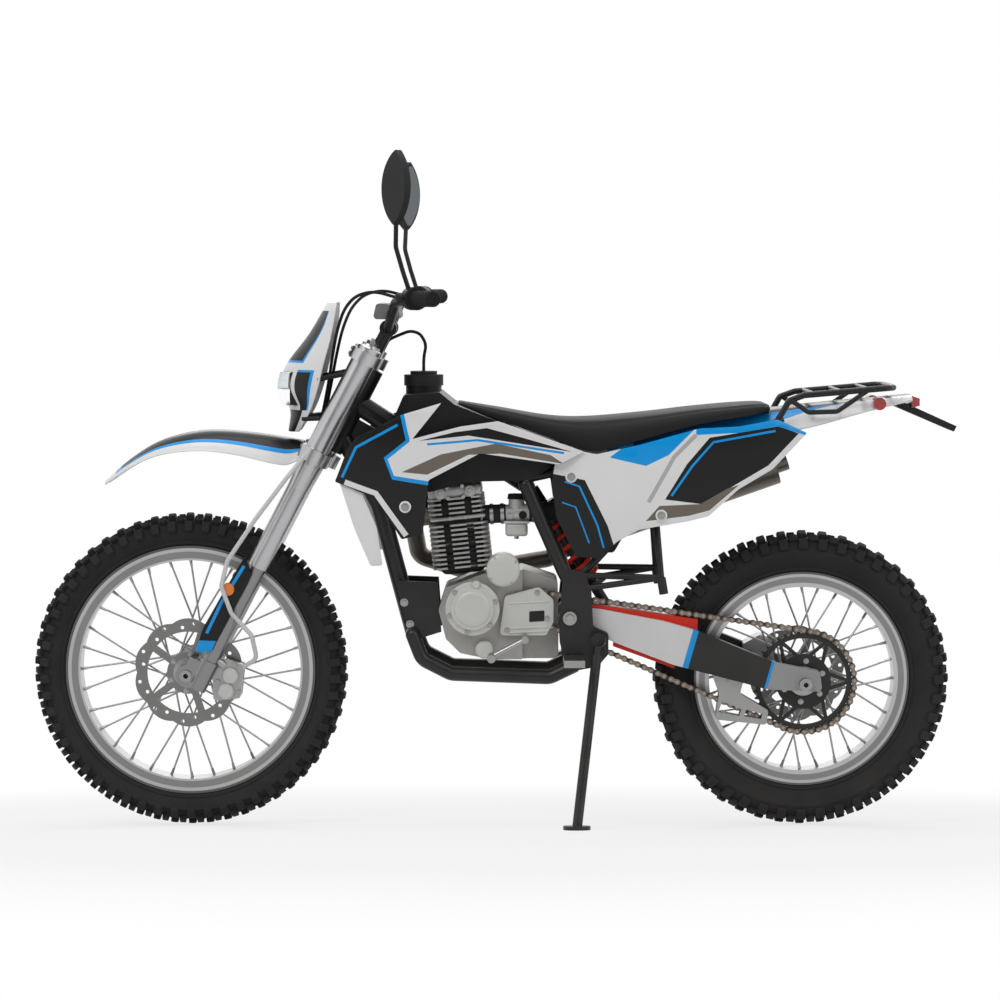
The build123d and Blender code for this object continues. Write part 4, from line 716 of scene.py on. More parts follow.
LEFT = (0, -1, 0)
RIGHT = (0, 1, 0)
PANEL_FILMS = [WHITE, BLACK, BLUE, TAUPE, SILVER]
FILM = {"white": 0, "black": 1, "blue": 2, "taupe": 3, "silver": 4}
PANEL_WALL = 4.0

# %% [markdown]
# The shrouds are the wings beside the tank. On the real bike each is one moulding under a printed film.
# They could be painted with a picture, but colour edges that are cut into the mesh stay crisp at any
# distance. The lower leg, which leads air past the engine, is a second sheet a little further in.

# %% Shrouds
SHROUD = [(-352, 790), (-323, 864), (-304, 888), (-208, 936), (-119, 962), (-182, 884), (-78, 910),
          (5, 921), (194, 853), (139, 825), (-35, 851), (-147, 794), (-160, 675), (-206, 664), (-263, 755),
          (-321, 779)]
SCOOP = [(-348, 806), (-300, 800), (-290, 760), (-260, 690), (-248, 607), (-274, 605), (-310, 690)]
SHROUD_PLAN = [(-380, -168), (-300, -194), (-180, -190), (0, -154), (200, -132)]
SCOOP_INSET = 5.5
SHROUD_FIELDS = [
    (FILM["black"], [(-365, 770), (-330, 900), (-205, 950), (-188, 884), (-238, 842), (-222, 800),
                     (-130, 780), (-140, 640), (-260, 640)]),
    (FILM["blue"], band([(-207, 950), (-192, 880), (-240, 842), (-224, 800), (-130, 784)], 9)),
    (FILM["blue"], band([(-336, 800), (-305, 866), (-214, 915)], 6)),
    (FILM["white"], band([(-330, 790), (-262, 766), (-196, 672)], 12)),
    (FILM["taupe"], [(-205, 812), (-150, 806), (-60, 848), (10, 850), (150, 826), (120, 846), (0, 872),
                     (-120, 850)]),
    (FILM["black"], [(-168, 880), (-60, 890), (170, 852), (60, 884), (-20, 906), (-90, 898)]),
    (FILM["blue"], band([(-150, 872), (-40, 880), (150, 850)], 5)),
]


def make_shrouds():
    bm = flat_panel(SHROUD, 3.0, 26.0, SHROUD_FIELDS)
    bend_panel(bm, SHROUD_PLAN, 9.0, PANEL_WALL)
    scoop = flat_panel(SCOOP, 5.0, 24.0, [])
    bend_panel(scoop, [(x, y + SCOOP_INSET) for x, y in SHROUD_PLAN], 4.0, PANEL_WALL)
    merge(bm, scoop)
    add_mirror_image(bm)
    return piece("shroud_panels", bm, PANEL_FILMS, "frame", ["shrouds"])


make_shrouds()

# %% [markdown]
# The side panels run from below the seat to the tail. The left one is whole. On the right the pipe and
# silencer pass where its lower half would be, so a field with their outline is cut in like a colour, and
# its faces are taken out before the sheet is bent.

# %% Side panels
SIDE_PANEL = [(131, 829), (190, 853), (221, 847), (315, 868), (446, 904), (534, 908), (621, 923), (687, 893),
              (610, 814), (534, 770), (468, 711), (424, 700), (315, 681), (267, 654), (228, 617), (177, 619),
              (134, 705), (123, 783)]
PANEL_PLAN = [(100, -112), (240, -134), (420, -142), (560, -132), (700, -112)]
PANEL_FIELDS = [
    (FILM["black"], [(100, 808), (196, 790), (246, 690), (262, 640), (230, 600), (160, 600), (110, 700)]),
    (FILM["blue"], band([(152, 786), (184, 776), (224, 690), (238, 640)], 4)),
    (FILM["blue"], band([(146, 740), (176, 730), (206, 650)], 3)),
    (FILM["black"], [(372, 748), (420, 826), (470, 884), (622, 908), (668, 892), (600, 822), (520, 776),
                     (452, 738)]),
    (FILM["blue"], band([(386, 756), (432, 822), (478, 874), (616, 898)], 5)),
    (FILM["blue"], [(300, 878), (446, 912), (380, 846), (330, 822), (250, 840)]),
    (FILM["blue"], band([(440, 900), (534, 904), (621, 918), (690, 896)], 20)),
    (FILM["taupe"], [(330, 700), (424, 712), (470, 724), (536, 780), (510, 772), (450, 738), (360, 734)]),
    (FILM["silver"], band([(336, 742), (392, 842), (440, 890)], 9)),
]
# What lies in the silencer's room is taken out of the right panel.
SILENCER_ROOM = [(90, 580), (90, 650), (262, 735), (640, 866), (780, 866), (780, 580)]
CUT_AWAY = len(PANEL_FILMS)


def side_panel(fields):
    bm = flat_panel(SIDE_PANEL, 4.0, 28.0, fields)
    gone = [face for face in bm.faces if face.material_index == CUT_AWAY]
    bmesh.ops.delete(bm, geom=gone, context="FACES")
    bend_panel(bm, PANEL_PLAN, 7.0, PANEL_WALL)
    return bm


def make_both_side_panels():
    """The right panel's lower half gives way to the pipe and silencer."""
    left = side_panel(PANEL_FIELDS)
    right = side_panel(PANEL_FIELDS + [(CUT_AWAY, SILENCER_ROOM)])
    bmesh.ops.scale(right, vec=(1, -1, 1), verts=right.verts)
    bmesh.ops.reverse_faces(right, faces=right.faces)
    merge(left, right)
    return piece("side_panel_pair", left, PANEL_FILMS, "frame", ["side_panels"])


make_both_side_panels()

# %% [markdown]
# ## Knobbly tyres
# A trail tyre is a round carcass that carries rows of rubber blocks: pairs down the middle, then an
# intermediate row, then tilted shoulder blocks. A bump in the material could hint at them, but the blocks
# make the tyre's outline. The carcass is a profile spun about the axle. Each block is a tapered, bevelled
# cube, made once and stamped round the tyre, so a whole tyre is one mesh of small pieces.

# %% Tyres
CROWN_R = 50.0
TYRE_STEPS = 120
LUG_FLARE = (1.16, 1.1, 1.0)
LUG_BEVEL = 1.3
LUG_ROOT = 5.0


def lug_template(length, width, height):
    bm = bmesh.new()
    bmesh.ops.create_cube(bm, size=1.0)
    bmesh.ops.scale(bm, vec=(length, width, height), verts=bm.verts)
    bmesh.ops.translate(bm, vec=(0, 0, -height / 2), verts=bm.verts)
    foot = [vert for vert in bm.verts if vert.co.z < -height / 2]
    bmesh.ops.scale(bm, vec=LUG_FLARE, verts=foot)
    edges = [edge for edge in bm.edges if any(vert.co.z > -height / 2 for vert in edge.verts)]
    bmesh.ops.bevel(bm, geom=edges, offset=LUG_BEVEL, offset_type="OFFSET", segments=1, profile=0.5,
                    affect="EDGES", material=-1)
    return as_mesh(bm, "tyre_lug")


def make_tyre(name, axle, outer_r, half_w, rim_r, pitches, lug_height, rows, body, node):
    bm = bmesh.new()
    floor_r = outer_r - lug_height
    wall_r = (floor_r + rim_r) / 2
    half = [(22, rim_r - 20), (24.5, rim_r + 1), (31, rim_r + 5), (31.5, rim_r + 9), (30, rim_r + 11),
            (half_w - 7, wall_r - 6), (half_w - 5, wall_r + 6), (half_w - 8, floor_r - 24),
            (half_w - 18, floor_r - 9), (half_w - 32, floor_r - 1.5), (0, floor_r)]
    profile = [(-side, radius) for side, radius in half] + half[-2::-1]
    spin_line(bm, [(0.0, side, radius) for side, radius in profile], RIGHT, TYRE_STEPS)
    for tilt, length, width, phase, lift in rows:
        template = lug_template(length, width, lug_height + LUG_ROOT)
        angle = radians(tilt)
        seat = Vector((0, CROWN_R * sin(angle), outer_r - CROWN_R + CROWN_R * cos(angle) - lift))
        for i in range(pitches):
            turn = Matrix.Rotation(2 * pi * (i + phase) / pitches, 4, "Y")
            stamp(bm, template, turn @ Matrix.Translation(seat) @ Matrix.Rotation(-angle, 4, "X"))
    bmesh.ops.translate(bm, vec=axle, verts=bm.verts)
    return piece(name, bm, [RUBBER], body, [node], crease=30.0)


def both_sides(rows):
    return [row for tilt, *rest in rows for row in ((tilt, *rest), (-tilt, *rest))]


# Each row: its tilt from the crown in degrees, the lugs' length and width, its phase in pitches, and how
# far it sits below the crown.
FRONT_ROWS = both_sides([(11.5, 15, 17, 0.0, 0.6), (33, 14, 15, 0.5, 0.4), (59, 17, 23, 0.0, 2.0)])
REAR_ROWS = both_sides([(14, 17, 22, 0.0, 1.0), (38, 17, 18, 0.5, 0.6), (60, 20, 26, 0.0, 0.5)])
make_tyre("front_knobbly_tyre", FRONT_AXLE, FRONT_R, 45.0, FRONT_RIM_R, 54, 13.0, FRONT_ROWS, "front_wheel",
          "front_tyre")
make_tyre("rear_knobbly_tyre", REAR_AXLE, REAR_R, 52.0, REAR_RIM_R, 44, 16.0, REAR_ROWS, "rear_wheel",
          "rear_tyre")

# %% [markdown]
# ## Chain
# A roller chain alternates inner and outer plates on a fixed pitch. An Array along a curve could carry the
# links, but it bends each one to the curve, and real links stay straight. The loop is two straight runs and
# two wraps that touch the pitch circles of the sprockets, so each link is placed by how far along the loop
# it lies.

# %% Chain
PITCH = 15.875
DRIVE = Vector((106.0, 0.0, 500.0))
CHAIN_SIDE = -64.0
LINK_WAIST = 0.56
LINK_WALL = 1.6
DRIVE_TEETH = 13
WHEEL_TEETH = 45
FRONT_PITCH_R = PITCH / (2 * sin(pi / DRIVE_TEETH))
REAR_PITCH_R = PITCH / (2 * sin(pi / WHEEL_TEETH))


def chain_stations():
    """Points on the chain's pitch line, one pitch apart, each with its direction."""
    to_rear = REAR_AXLE - DRIVE
    slope = atan2(to_rear.z, to_rear.x)
    taper = asin((REAR_PITCH_R - FRONT_PITCH_R) / to_rear.length)
    run = sqrt(to_rear.length ** 2 - (REAR_PITCH_R - FRONT_PITCH_R) ** 2)
    rear_wrap = (pi + 2 * taper) * REAR_PITCH_R
    front_wrap = (pi - 2 * taper) * FRONT_PITCH_R
    total = 2 * run + rear_wrap + front_wrap
    count = int(total / PITCH / 2) * 2
    step = total / count
    top = slope + pi / 2 + taper
    low = slope - pi / 2 - taper
    stations = []
    for i in range(count):
        s = i * step
        if s < run:
            centre, radius, angle, on = DRIVE, FRONT_PITCH_R, top, s
        elif s < run + rear_wrap:
            centre, radius, angle, on = REAR_AXLE, REAR_PITCH_R, top - (s - run) / REAR_PITCH_R, 0.0
        elif s < 2 * run + rear_wrap:
            centre, radius, angle, on = REAR_AXLE, REAR_PITCH_R, low, s - run - rear_wrap
        else:
            angle = low - (s - 2 * run - rear_wrap) / FRONT_PITCH_R
            centre, radius, on = DRIVE, FRONT_PITCH_R, 0.0
        out = Vector((cos(angle), 0, sin(angle)))
        along = Vector((sin(angle), 0, -cos(angle)))
        stations.append((centre + out * radius + along * on, along))
    print("chain links:", count)
    return stations


def plate_template(side, height, material):
    """A link plate: round at both pins and waisted between them."""
    bm = bmesh.new()
    radius = height / 2
    outline = []
    for pin, start, edge in ((PITCH, -120, 1), (0.0, 60, -1)):
        for step in range(9):
            angle = radians(start + 30 * step)
            outline.append(bm.verts.new((pin + radius * cos(angle), side, radius * sin(angle))))
        outline.append(bm.verts.new((PITCH / 2, side, edge * LINK_WAIST * radius)))
    bm.faces.new(outline)
    draw_out(bm, (0, LINK_WALL, 0))
    return as_mesh(bm, "link_plate", material)


def pin_template(radius, half_length, material):
    bm = bmesh.new()
    bmesh.ops.create_cone(bm, cap_ends=True, segments=10, radius1=radius, radius2=radius,
                          depth=half_length * 2, matrix=Matrix.Rotation(pi / 2, 4, "X"))
    return as_mesh(bm, "link_pin", material)


def make_chain():
    bm = bmesh.new()
    inner = [plate_template(side, 13.0, 0) for side in (4.4, -6.0)]
    outer = [plate_template(side, 12.2, 1) for side in (6.2, -7.8)]
    roller = pin_template(5.0, 4.4, 0)
    pin = pin_template(2.6, 8.4, 2)
    for i, (spot, along) in enumerate(chain_stations()):
        turn = Matrix.Rotation(atan2(-along.z, along.x), 4, "Y")
        place = Matrix.Translation(spot + Vector((0, CHAIN_SIDE, 0))) @ turn
        for plate in (outer if i % 2 else inner):
            stamp(bm, plate, place)
        stamp(bm, roller, place)
        stamp(bm, pin, place)
    materials = [CHAIN_STEEL, LINK_STEEL, STEEL]
    return piece("roller_chain", bm, materials, "frame", ["drive_chain"])


make_chain()

# %% [markdown]
# ## Front fender, mask and tail
# On the real bike these are thin crowned mouldings. A few control points under a Subdivision Surface could
# give their sweep, but the colours would then have no edges to end on. Here a flat grid is laid out, and
# each point is moved by formula: along the centre line, out by the half width there, and down by a crown
# that grows towards the edge. Rows of the grid are the edges of the colour fields.

# %% Crowned sheets


def crowned_sheet(name, stations, cells, place, colour, wall, body, node):
    """A grid over (share along, share across) moved by `place` and coloured by `colour`."""
    bm = bmesh.new()
    bmesh.ops.create_grid(bm, x_segments=stations, y_segments=cells, size=1.0)
    for face in bm.faces:
        middle = face.calc_center_median()
        face.material_index = colour((middle.x + 1) / 2, middle.y)
    for vert in bm.verts:
        vert.co = place((vert.co.x + 1) / 2, vert.co.y)
    bmesh.ops.remove_doubles(bm, verts=bm.verts, dist=0.05)
    thicken(bm, (0, 0, 1), wall, 0.9)
    return piece(name, bm, PANEL_FILMS, body, [node])


FENDER_LINE = [(-876, 781), (-822, 828), (-760, 867), (-690, 889), (-620, 895), (-520, 886), (-430, 871)]
FENDER_HALF = [(-876, 30), (-862, 46), (-836, 60), (-760, 70), (-640, 78), (-520, 80), (-430, 70)]
FENDER_DROP = [(-876, 8), (-836, 16), (-760, 28), (-690, 38), (-570, 50), (-470, 58), (-430, 36)]
TIP_WHITE = 0.06
TIP_BLUE = 0.09
EDGE_BLUE = 0.7
EDGE_WHITE = 0.8


def between_ends(line, share):
    return line[0][0] + share * (line[-1][0] - line[0][0])


def fender_place(along, across):
    x = between_ends(FENDER_LINE, along)
    drop = curve_at(FENDER_DROP, x) * abs(across) ** 2.4
    return Vector((x, curve_at(FENDER_HALF, x) * across, curve_at(FENDER_LINE, x) - drop))


def fender_colour(along, across):
    reach = abs(across)
    if along < TIP_WHITE or reach > EDGE_WHITE:
        return FILM["white"]
    if along < TIP_BLUE or reach > EDGE_BLUE:
        return FILM["blue"]
    return FILM["black"]


crowned_sheet("front_fender_shell", 34, 20, fender_place, fender_colour, 3.0, "steering",
              "front_fender")

TAIL_LINE = [(306, 876), (448, 918), (610, 944), (729, 957), (926, 975)]
TAIL_HALF = [(306, 62), (450, 84), (600, 98), (760, 92), (880, 72), (926, 60)]
TAIL_DROP = [(306, 32), (450, 46), (571, 54), (690, 48), (826, 24), (926, 10)]
# The blue band lies between two rows of the grid. The outer row is drawn in along the tail, so that the band
# narrows to a point.
BAND_INNER = 0.55
BAND_OUTER = 0.85
BAND_EDGE = [(306, 0.94), (590, 0.86), (760, 0.58), (926, 0.58)]
BAND_END = 0.74
WHITE_START = 0.45


def tail_place(along, across):
    x = between_ends(TAIL_LINE, along)
    edge = curve_at(BAND_EDGE, x)
    reach = abs(across)
    if reach > BAND_OUTER:
        reach = edge + (reach - BAND_OUTER) / (1 - BAND_OUTER) * (1 - edge)
    elif reach > BAND_INNER:
        reach = BAND_INNER + (reach - BAND_INNER) / (BAND_OUTER - BAND_INNER) * (edge - BAND_INNER)
    side = 1 if across > 0 else -1
    drop = curve_at(TAIL_DROP, x) * reach ** 3.0
    return Vector((x, side * curve_at(TAIL_HALF, x) * reach, curve_at(TAIL_LINE, x) - drop))


def tail_colour(along, across):
    reach = abs(across)
    if reach > BAND_OUTER or (reach > BAND_INNER and along > BAND_END):
        return FILM["white"] if along > WHITE_START else FILM["black"]
    if reach > BAND_INNER:
        return FILM["blue"]
    return FILM["black"]


crowned_sheet("tail_shell", 48, 40, tail_place, tail_colour, 4.0, "frame", "rear_fender")

# %% [markdown]
# The mask is the moulding round the headlamp. It is laid out the same way, standing up: one direction of
# the grid runs from its chin to its top, the other across it. A Boolean could cut the lamp's opening, but
# would leave ragged cells. The grid's columns are bunched so that two of them lie on the sides of the
# opening, and the cells in it are left out.

# %% Mask
LAMP_LOW = 952.0
LAMP_HIGH = 1024.0
LAMP_HALF = 62.0
BROW_LOW = 1044.0
BROW_HIGH = 1160.0
CHEEK_LOW = LAMP_LOW - 10
CHEEK_HIGH = LAMP_HIGH + 8
MASK_FRONT = [(891, -466), (940, -462), (990, -486), (1040, -470), (1110, -418), (1181, -376)]
MASK_HALF = [(891, 40), (940, 86), (990, 110), (1040, 114), (1110, 100), (1163, 80), (1181, 58)]
MASK_SWEEP = [(891, 26), (940, 50), (990, 92), (1040, 88), (1110, 54), (1181, 22)]
MASK_WALL = 4.0
MASK_STRAPS = [((-430, -60, 922), 60.0), ((-396, -106, 1011), 170.0)]
FORK_OFFSET = 22.0
FORK_HALF_SPAN = 100.0


def mask_place(up, across):
    z = between_ends(MASK_FRONT, up)
    half = curve_at(MASK_HALF, z)
    inner = min(LAMP_HALF, 0.66 * half)
    reach = abs(across)
    side = inner * reach * 2 if reach < 0.5 else inner + (half - inner) * (reach - 0.5) * 2
    x = curve_at(MASK_FRONT, z) + curve_at(MASK_SWEEP, z) * (side / half) ** 2
    return Vector((x, side if across > 0 else -side, z))


def mask_colour(up, across):
    z = between_ends(MASK_FRONT, up)
    reach = abs(across)
    if BROW_LOW < z < BROW_HIGH and reach < 0.66:
        return FILM["blue"] if reach > 0.6 or z < BROW_LOW + 6 else FILM["black"]
    if z < CHEEK_LOW and reach < 0.7:
        return FILM["black"]
    if CHEEK_LOW < z < CHEEK_HIGH and 0.6 < reach < 0.92:
        return FILM["blue"] if z > LAMP_HIGH or reach > 0.86 else FILM["black"]
    return FILM["white"]


def make_mask():
    bm = bmesh.new()
    bmesh.ops.create_grid(bm, x_segments=58, y_segments=40, size=1.0)
    opening = []
    for face in bm.faces:
        middle = face.calc_center_median()
        up = (middle.x + 1) / 2
        face.material_index = mask_colour(up, middle.y)
        if LAMP_LOW < between_ends(MASK_FRONT, up) < LAMP_HIGH and abs(middle.y) < 0.5:
            opening.append(face)
    bmesh.ops.delete(bm, geom=opening, context="FACES")
    for vert in bm.verts:
        vert.co = mask_place((vert.co.x + 1) / 2, vert.co.y)
    thicken(bm, (-1, 0, 0), MASK_WALL, 1.2)
    for front, height in MASK_STRAPS:
        for side in (1, -1):
            root = on_steer(-FORK_OFFSET - 26, -side * FORK_HALF_SPAN, height)
            tube(bm, (front[0] + 2, side * front[1], front[2]), root, 6, material=FILM["black"])
    return piece("mask_shell", bm, PANEL_FILMS, "steering", ["headlight_mask"])


make_mask()

# %% [markdown]
# The lamp fills the opening. A real one is a black tub, a chromed bowl and a clear cover. A bright plate
# would do from far off, but only a bowl behind a lens catches light as a lamp does, so all three are made.
# The bowl is a line spun about the lamp's axis and then widened.

# %% Headlamp
LENS_EDGE = -458.0
LENS_FRONT = -490.0
LAMP_BACK = -424.0
BOWL_LINE = [(-462, 33), (-452, 29), (-442, 20), (-436, 9), (-435, 0.5)]


def make_headlamp():
    """A black tub, a chromed bowl with its bulb cap, and a clear bowed lens."""
    bm = bmesh.new()
    half = LAMP_HALF - 1.0
    height = LAMP_HIGH - LAMP_LOW - 2.0
    middle_z = (LAMP_LOW + LAMP_HIGH) / 2
    made = bmesh.ops.create_cube(bm, size=1.0)["verts"]
    bmesh.ops.scale(bm, vec=(LAMP_BACK - LENS_EDGE, 2 * half, height), verts=made)
    bmesh.ops.translate(bm, vec=((LAMP_BACK + LENS_EDGE) / 2, 0, middle_z), verts=made)
    front = [face for face in bm.faces if face.normal.x < -0.9]
    bmesh.ops.delete(bm, geom=front, context="FACES_ONLY")
    for edge in [edge for edge in bm.edges if not edge.is_manifold]:
        edge.smooth = False

    bowl = bmesh.new()
    spin_line(bowl, [(x, 0, radius) for x, radius in BOWL_LINE], (1, 0, 0), 32)
    bmesh.ops.scale(bowl, vec=(1, 1.7, 1), verts=bowl.verts)
    bulb = Matrix.Translation((-452, 0, 0))
    bmesh.ops.create_uvsphere(bowl, u_segments=16, v_segments=8, radius=10, matrix=bulb)
    merge(bm, bowl, Matrix.Translation((0, 0, middle_z)), material=1)

    lens = bmesh.new()
    bmesh.ops.create_grid(lens, x_segments=24, y_segments=14, size=1.0)
    for vert in lens.verts:
        across, up = vert.co.x, vert.co.y
        x = LENS_FRONT + (LENS_EDGE - LENS_FRONT) * across * across + 6 * up * up
        vert.co = Vector((x, half * across, middle_z + up * height / 2))
    bmesh.ops.solidify(lens, geom=lens.faces[:], thickness=2.0)
    merge(bm, lens, material=2)
    return piece("headlamp_unit", bm, [BLACK_PLASTIC, CHROME, CLEAR], "steering", ["headlamp"])


make_headlamp()

# %% [markdown]
# ## Seat
# The real seat is firm foam under a tight vinyl cover. A cloth simulation could blow up a cover, but it
# would make wrinkles that such a seat doesn't have. So it is lofted: a ring of points at each station, with
# a flat base, full sides and a crowned top, and each ring joined to the next. Two seams run the length of
# it where the top cover meets the sides.

# %% Seat
SEAT_TOP = [(-83, 960), (9, 945), (110, 928), (189, 924), (324, 934), (459, 949), (590, 958), (608, 952)]
SEAT_BASE = [(-83, 953), (2, 922), (110, 884), (210, 853), (294, 871), (448, 912), (598, 937), (608, 941)]
SEAT_HALF = [(-83, 46), (0, 70), (120, 94), (260, 115), (420, 119), (560, 108), (608, 74)]
SEAT_STATIONS = 60
SEAT_ARC = 26
SEAM_AT = (6, 20)
SEAM_DROP = 2.2
SEAM_TUCK = 0.985


def seat_ring(x):
    """Points round the seat at x, from the left base edge over the top to the right base edge."""
    top = curve_at(SEAT_TOP, x)
    base = curve_at(SEAT_BASE, x)
    half = curve_at(SEAT_HALF, x)
    ring = []
    for i in range(SEAT_ARC + 1):
        angle = pi * i / SEAT_ARC
        across = -cos(angle)
        side = half * (abs(across) ** 0.6) * (1 if across > 0 else -1)
        height = base + (top - base) * sin(angle) ** 0.55 if 0 < i < SEAT_ARC else base
        if i in SEAM_AT:
            height -= SEAM_DROP
            side *= SEAM_TUCK
        ring.append(Vector((x, side, height)))
    return ring


def make_seat():
    bm = bmesh.new()
    rings = []
    for k in range(SEAT_STATIONS + 1):
        x = between_ends(SEAT_TOP, k / SEAT_STATIONS)
        rings.append([bm.verts.new(point) for point in seat_ring(x)])
    for near, far in zip(rings, rings[1:]):
        for i in range(SEAT_ARC):
            bm.faces.new((near[i], near[i + 1], far[i + 1], far[i]))
        bm.faces.new((near[SEAT_ARC], near[0], far[0], far[SEAT_ARC]))
    for ring in (rings[0], rings[-1]):
        bm.faces.new(ring)
    seat = piece("seat_cushion", bm, [SEAT_VINYL], "frame", ["seat"], crease=70.0)


make_seat()

# %% [markdown]
# ## Fork guards
# The guards keep stones off the fork's sliders. Each could be bent round its leg. From the side a flat panel
# reads the same, so it is made like the body panels, with an amber reflector on its outer face.

# %% Fork guards and reflectors
FORK_GUARD = [(-554, 622), (-539, 583), (-548, 560), (-622, 428), (-630, 408), (-666, 408), (-648, 462),
              (-600, 546)]
GUARD_FIELDS = [
    (FILM["black"], [(-700, 380), (-700, 660), (-500, 660), (-500, 380)]),
    (FILM["blue"], band([(-556, 600), (-606, 520), (-640, 450)], 7)),
    (FILM["blue"], [(-700, 380), (-700, 436), (-500, 428), (-500, 380)]),
]
GUARD_SIDE = -131.0
REFLECTOR = (-592, 548)


def make_fork_guards():
    bm = flat_panel(FORK_GUARD, 6.0, 16.0, GUARD_FIELDS)
    bend_panel(bm, [(-700, GUARD_SIDE), (-500, GUARD_SIDE)], 3.0, PANEL_WALL)
    amber = len(PANEL_FILMS)
    x, z = REFLECTOR
    tube(bm, (x, GUARD_SIDE + 2, z), (x, GUARD_SIDE - 5, z), 15, sides=28, tip_radius=13.5, material=amber)
    add_mirror_image(bm)
    return piece("fork_guard_pair", bm, PANEL_FILMS + [AMBER], "steering", ["fork_guards"])


make_fork_guards()

# %% [markdown]
# ## Spring, grips and mirrors
# The rear spring is one wire wound round the damper. A curve with a bevel could make it. A circle spun about
# the damper while it climbs needs one operator, and it leaves two open ends that are easy to fill.

# %% Spring and damper
SHOCK_TOP = Vector((84.0, 36.0, 760.0))
ARM_ALONG = (REAR_AXLE - PIVOT).normalized()
ARM_UP = Vector((-ARM_ALONG.z, 0.0, ARM_ALONG.x))
SHOCK_LOW = PIVOT + ARM_ALONG * 82 + ARM_UP * 34 + Vector((0.0, 36.0, 0.0))
COIL_R = 25.0
WIRE_R = 5.5
COIL_TURNS = 7
COIL_STEPS = 20
COIL_START = 56.0
COIL_SPARE = 124.0


def make_shock():
    along = (SHOCK_LOW - SHOCK_TOP).normalized()
    length = (SHOCK_LOW - SHOCK_TOP).length
    steps = COIL_TURNS * COIL_STEPS
    bm = bmesh.new()
    coil = bmesh.new()
    wire = Matrix.Translation((COIL_R, 0, 0)) @ Matrix.Rotation(pi / 2, 4, "X")
    bmesh.ops.create_circle(coil, segments=8, radius=WIRE_R, matrix=wire)
    bmesh.ops.spin(coil, geom=coil.verts[:] + coil.edges[:], cent=(0, 0, 0), axis=(0, 0, 1),
                   angle=COIL_TURNS * 2 * pi, steps=steps, dvec=(0, 0, (length - COIL_SPARE) / steps))
    bmesh.ops.holes_fill(coil, edges=[edge for edge in coil.edges if edge.is_boundary])
    merge(bm, coil, Matrix.Translation(SHOCK_TOP + along * COIL_START) @ pointing(along), material=1)
    rod = (0, length, 12)
    upper_seat = (42, 52, 33)
    lower_seat = (length - 66, length - 54, 33)
    damper = (52, length * 0.55, 17)
    for start, end, radius in (rod, upper_seat, lower_seat, damper):
        tube(bm, SHOCK_TOP + along * start, SHOCK_TOP + along * end, radius, sides=24)
    return piece("coil_over_shock", bm, [SHOCK_STEEL, RED], "frame", ["rear_shock"])


make_shock()

# %% [markdown]
# The grips are rubber sleeves with ribs round them. A bump in the material wouldn't show on their outline,
# so a ribbed line is spun about the bar. Each mirror's glass is a thin leaf laid on the rider's side of its
# housing, which is one of the solids.

# %% Grips and mirror glass
BAR_BASE = on_steer(-8, 0, 303)
GRIP_START = Vector((BAR_BASE.x + 62, 270.0, 1190.0))
GRIP_END = Vector((BAR_BASE.x + 108, 400.0, 1190.0))
GRIP_R = 17.0
RIBS = 15
MIRROR_FOOT = GRIP_START + Vector((-34, 48, 156))
MIRROR_H = 158.0
MIRROR_HALF = 42.0
MIRROR_TURN = radians(52.0)


def make_grips():
    along = (GRIP_END - GRIP_START).normalized()
    length = (GRIP_END - GRIP_START).length - 18
    profile = [(0, 11.2), (0, GRIP_R + 8), (5, GRIP_R + 8), (7, GRIP_R - 1)]
    step = (length - 14) / RIBS
    for i in range(RIBS):
        start = 8 + i * step
        profile += [(start, GRIP_R - 1), (start + step * 0.2, GRIP_R), (start + step * 0.7, GRIP_R),
                    (start + step * 0.9, GRIP_R - 1)]
    profile += [(length - 4, GRIP_R), (length, GRIP_R - 2), (length, 0.2)]
    bm = bmesh.new()
    spin_line(bm, [(radius, 0, reach) for reach, radius in profile], (0, 0, 1), 28)
    place = Matrix.Translation(GRIP_START + along * 22) @ pointing(along)
    bmesh.ops.transform(bm, matrix=place, verts=bm.verts)
    add_mirror_image(bm)
    return piece("ribbed_grips", bm, [GRIP], "steering", ["grips"])


def make_mirror_glass():
    bm = bmesh.new()
    outline = []
    points = 18
    for side in (1, -1):
        for i in range(points):
            t = (i + 0.5) / points if side > 0 else 1 - (i + 0.5) / points
            half = (MIRROR_HALF - 6) * sin(pi * t) ** 0.8
            outline.append(bm.verts.new((8 * t + side * half, -8.6, 6 + (MIRROR_H - 12) * t)))
    bm.faces.new(outline)
    draw_out(bm, (0, 0.8, 0))
    place = Matrix.Translation(MIRROR_FOOT) @ Matrix.Rotation(MIRROR_TURN, 4, "Z")
    bmesh.ops.transform(bm, matrix=place, verts=bm.verts)
    add_mirror_image(bm)
    return piece("mirror_glass", bm, [MIRROR], "steering")


make_grips()
make_mirror_glass()

# %% [markdown]
# ## Bolts, caps and spoke nipples
# Panels, covers and clamps are held by flanged bolts. Each could be an object of its own, but dozens of
# small objects are slow to handle. So a bolt is made once and stamped where it belongs, in one mesh for each
# body that carries it. It is placed by the point where its washer sits and the way its head faces.

# %% Fastenings


def bolt_template(radius):
    """A washer and a flanged hexagon head, with its top edge broken."""
    bm = bmesh.new()
    tube(bm, (0, 0, -1.0), (0, 0, radius * 0.3), radius * 1.5, sides=18, tip_radius=radius * 1.4)
    tube(bm, (0, 0, radius * 0.25), (0, 0, radius * 1.1), radius, sides=6, tip_radius=radius * 0.9)
    return as_mesh(bm, "bolt")


def ring_of(centre, side, radius, count, start=0.0):
    """Places round a circle on a face square to the bike's side."""
    angles = [2 * pi * i / count + start for i in range(count)]
    return [(centre[0] + radius * cos(angle), side, centre[1] + radius * sin(angle)) for angle in angles]


def stamp_bolts(bm, template, places, facing):
    for place in places:
        stamp(bm, template, Matrix.Translation(place) @ pointing(facing))


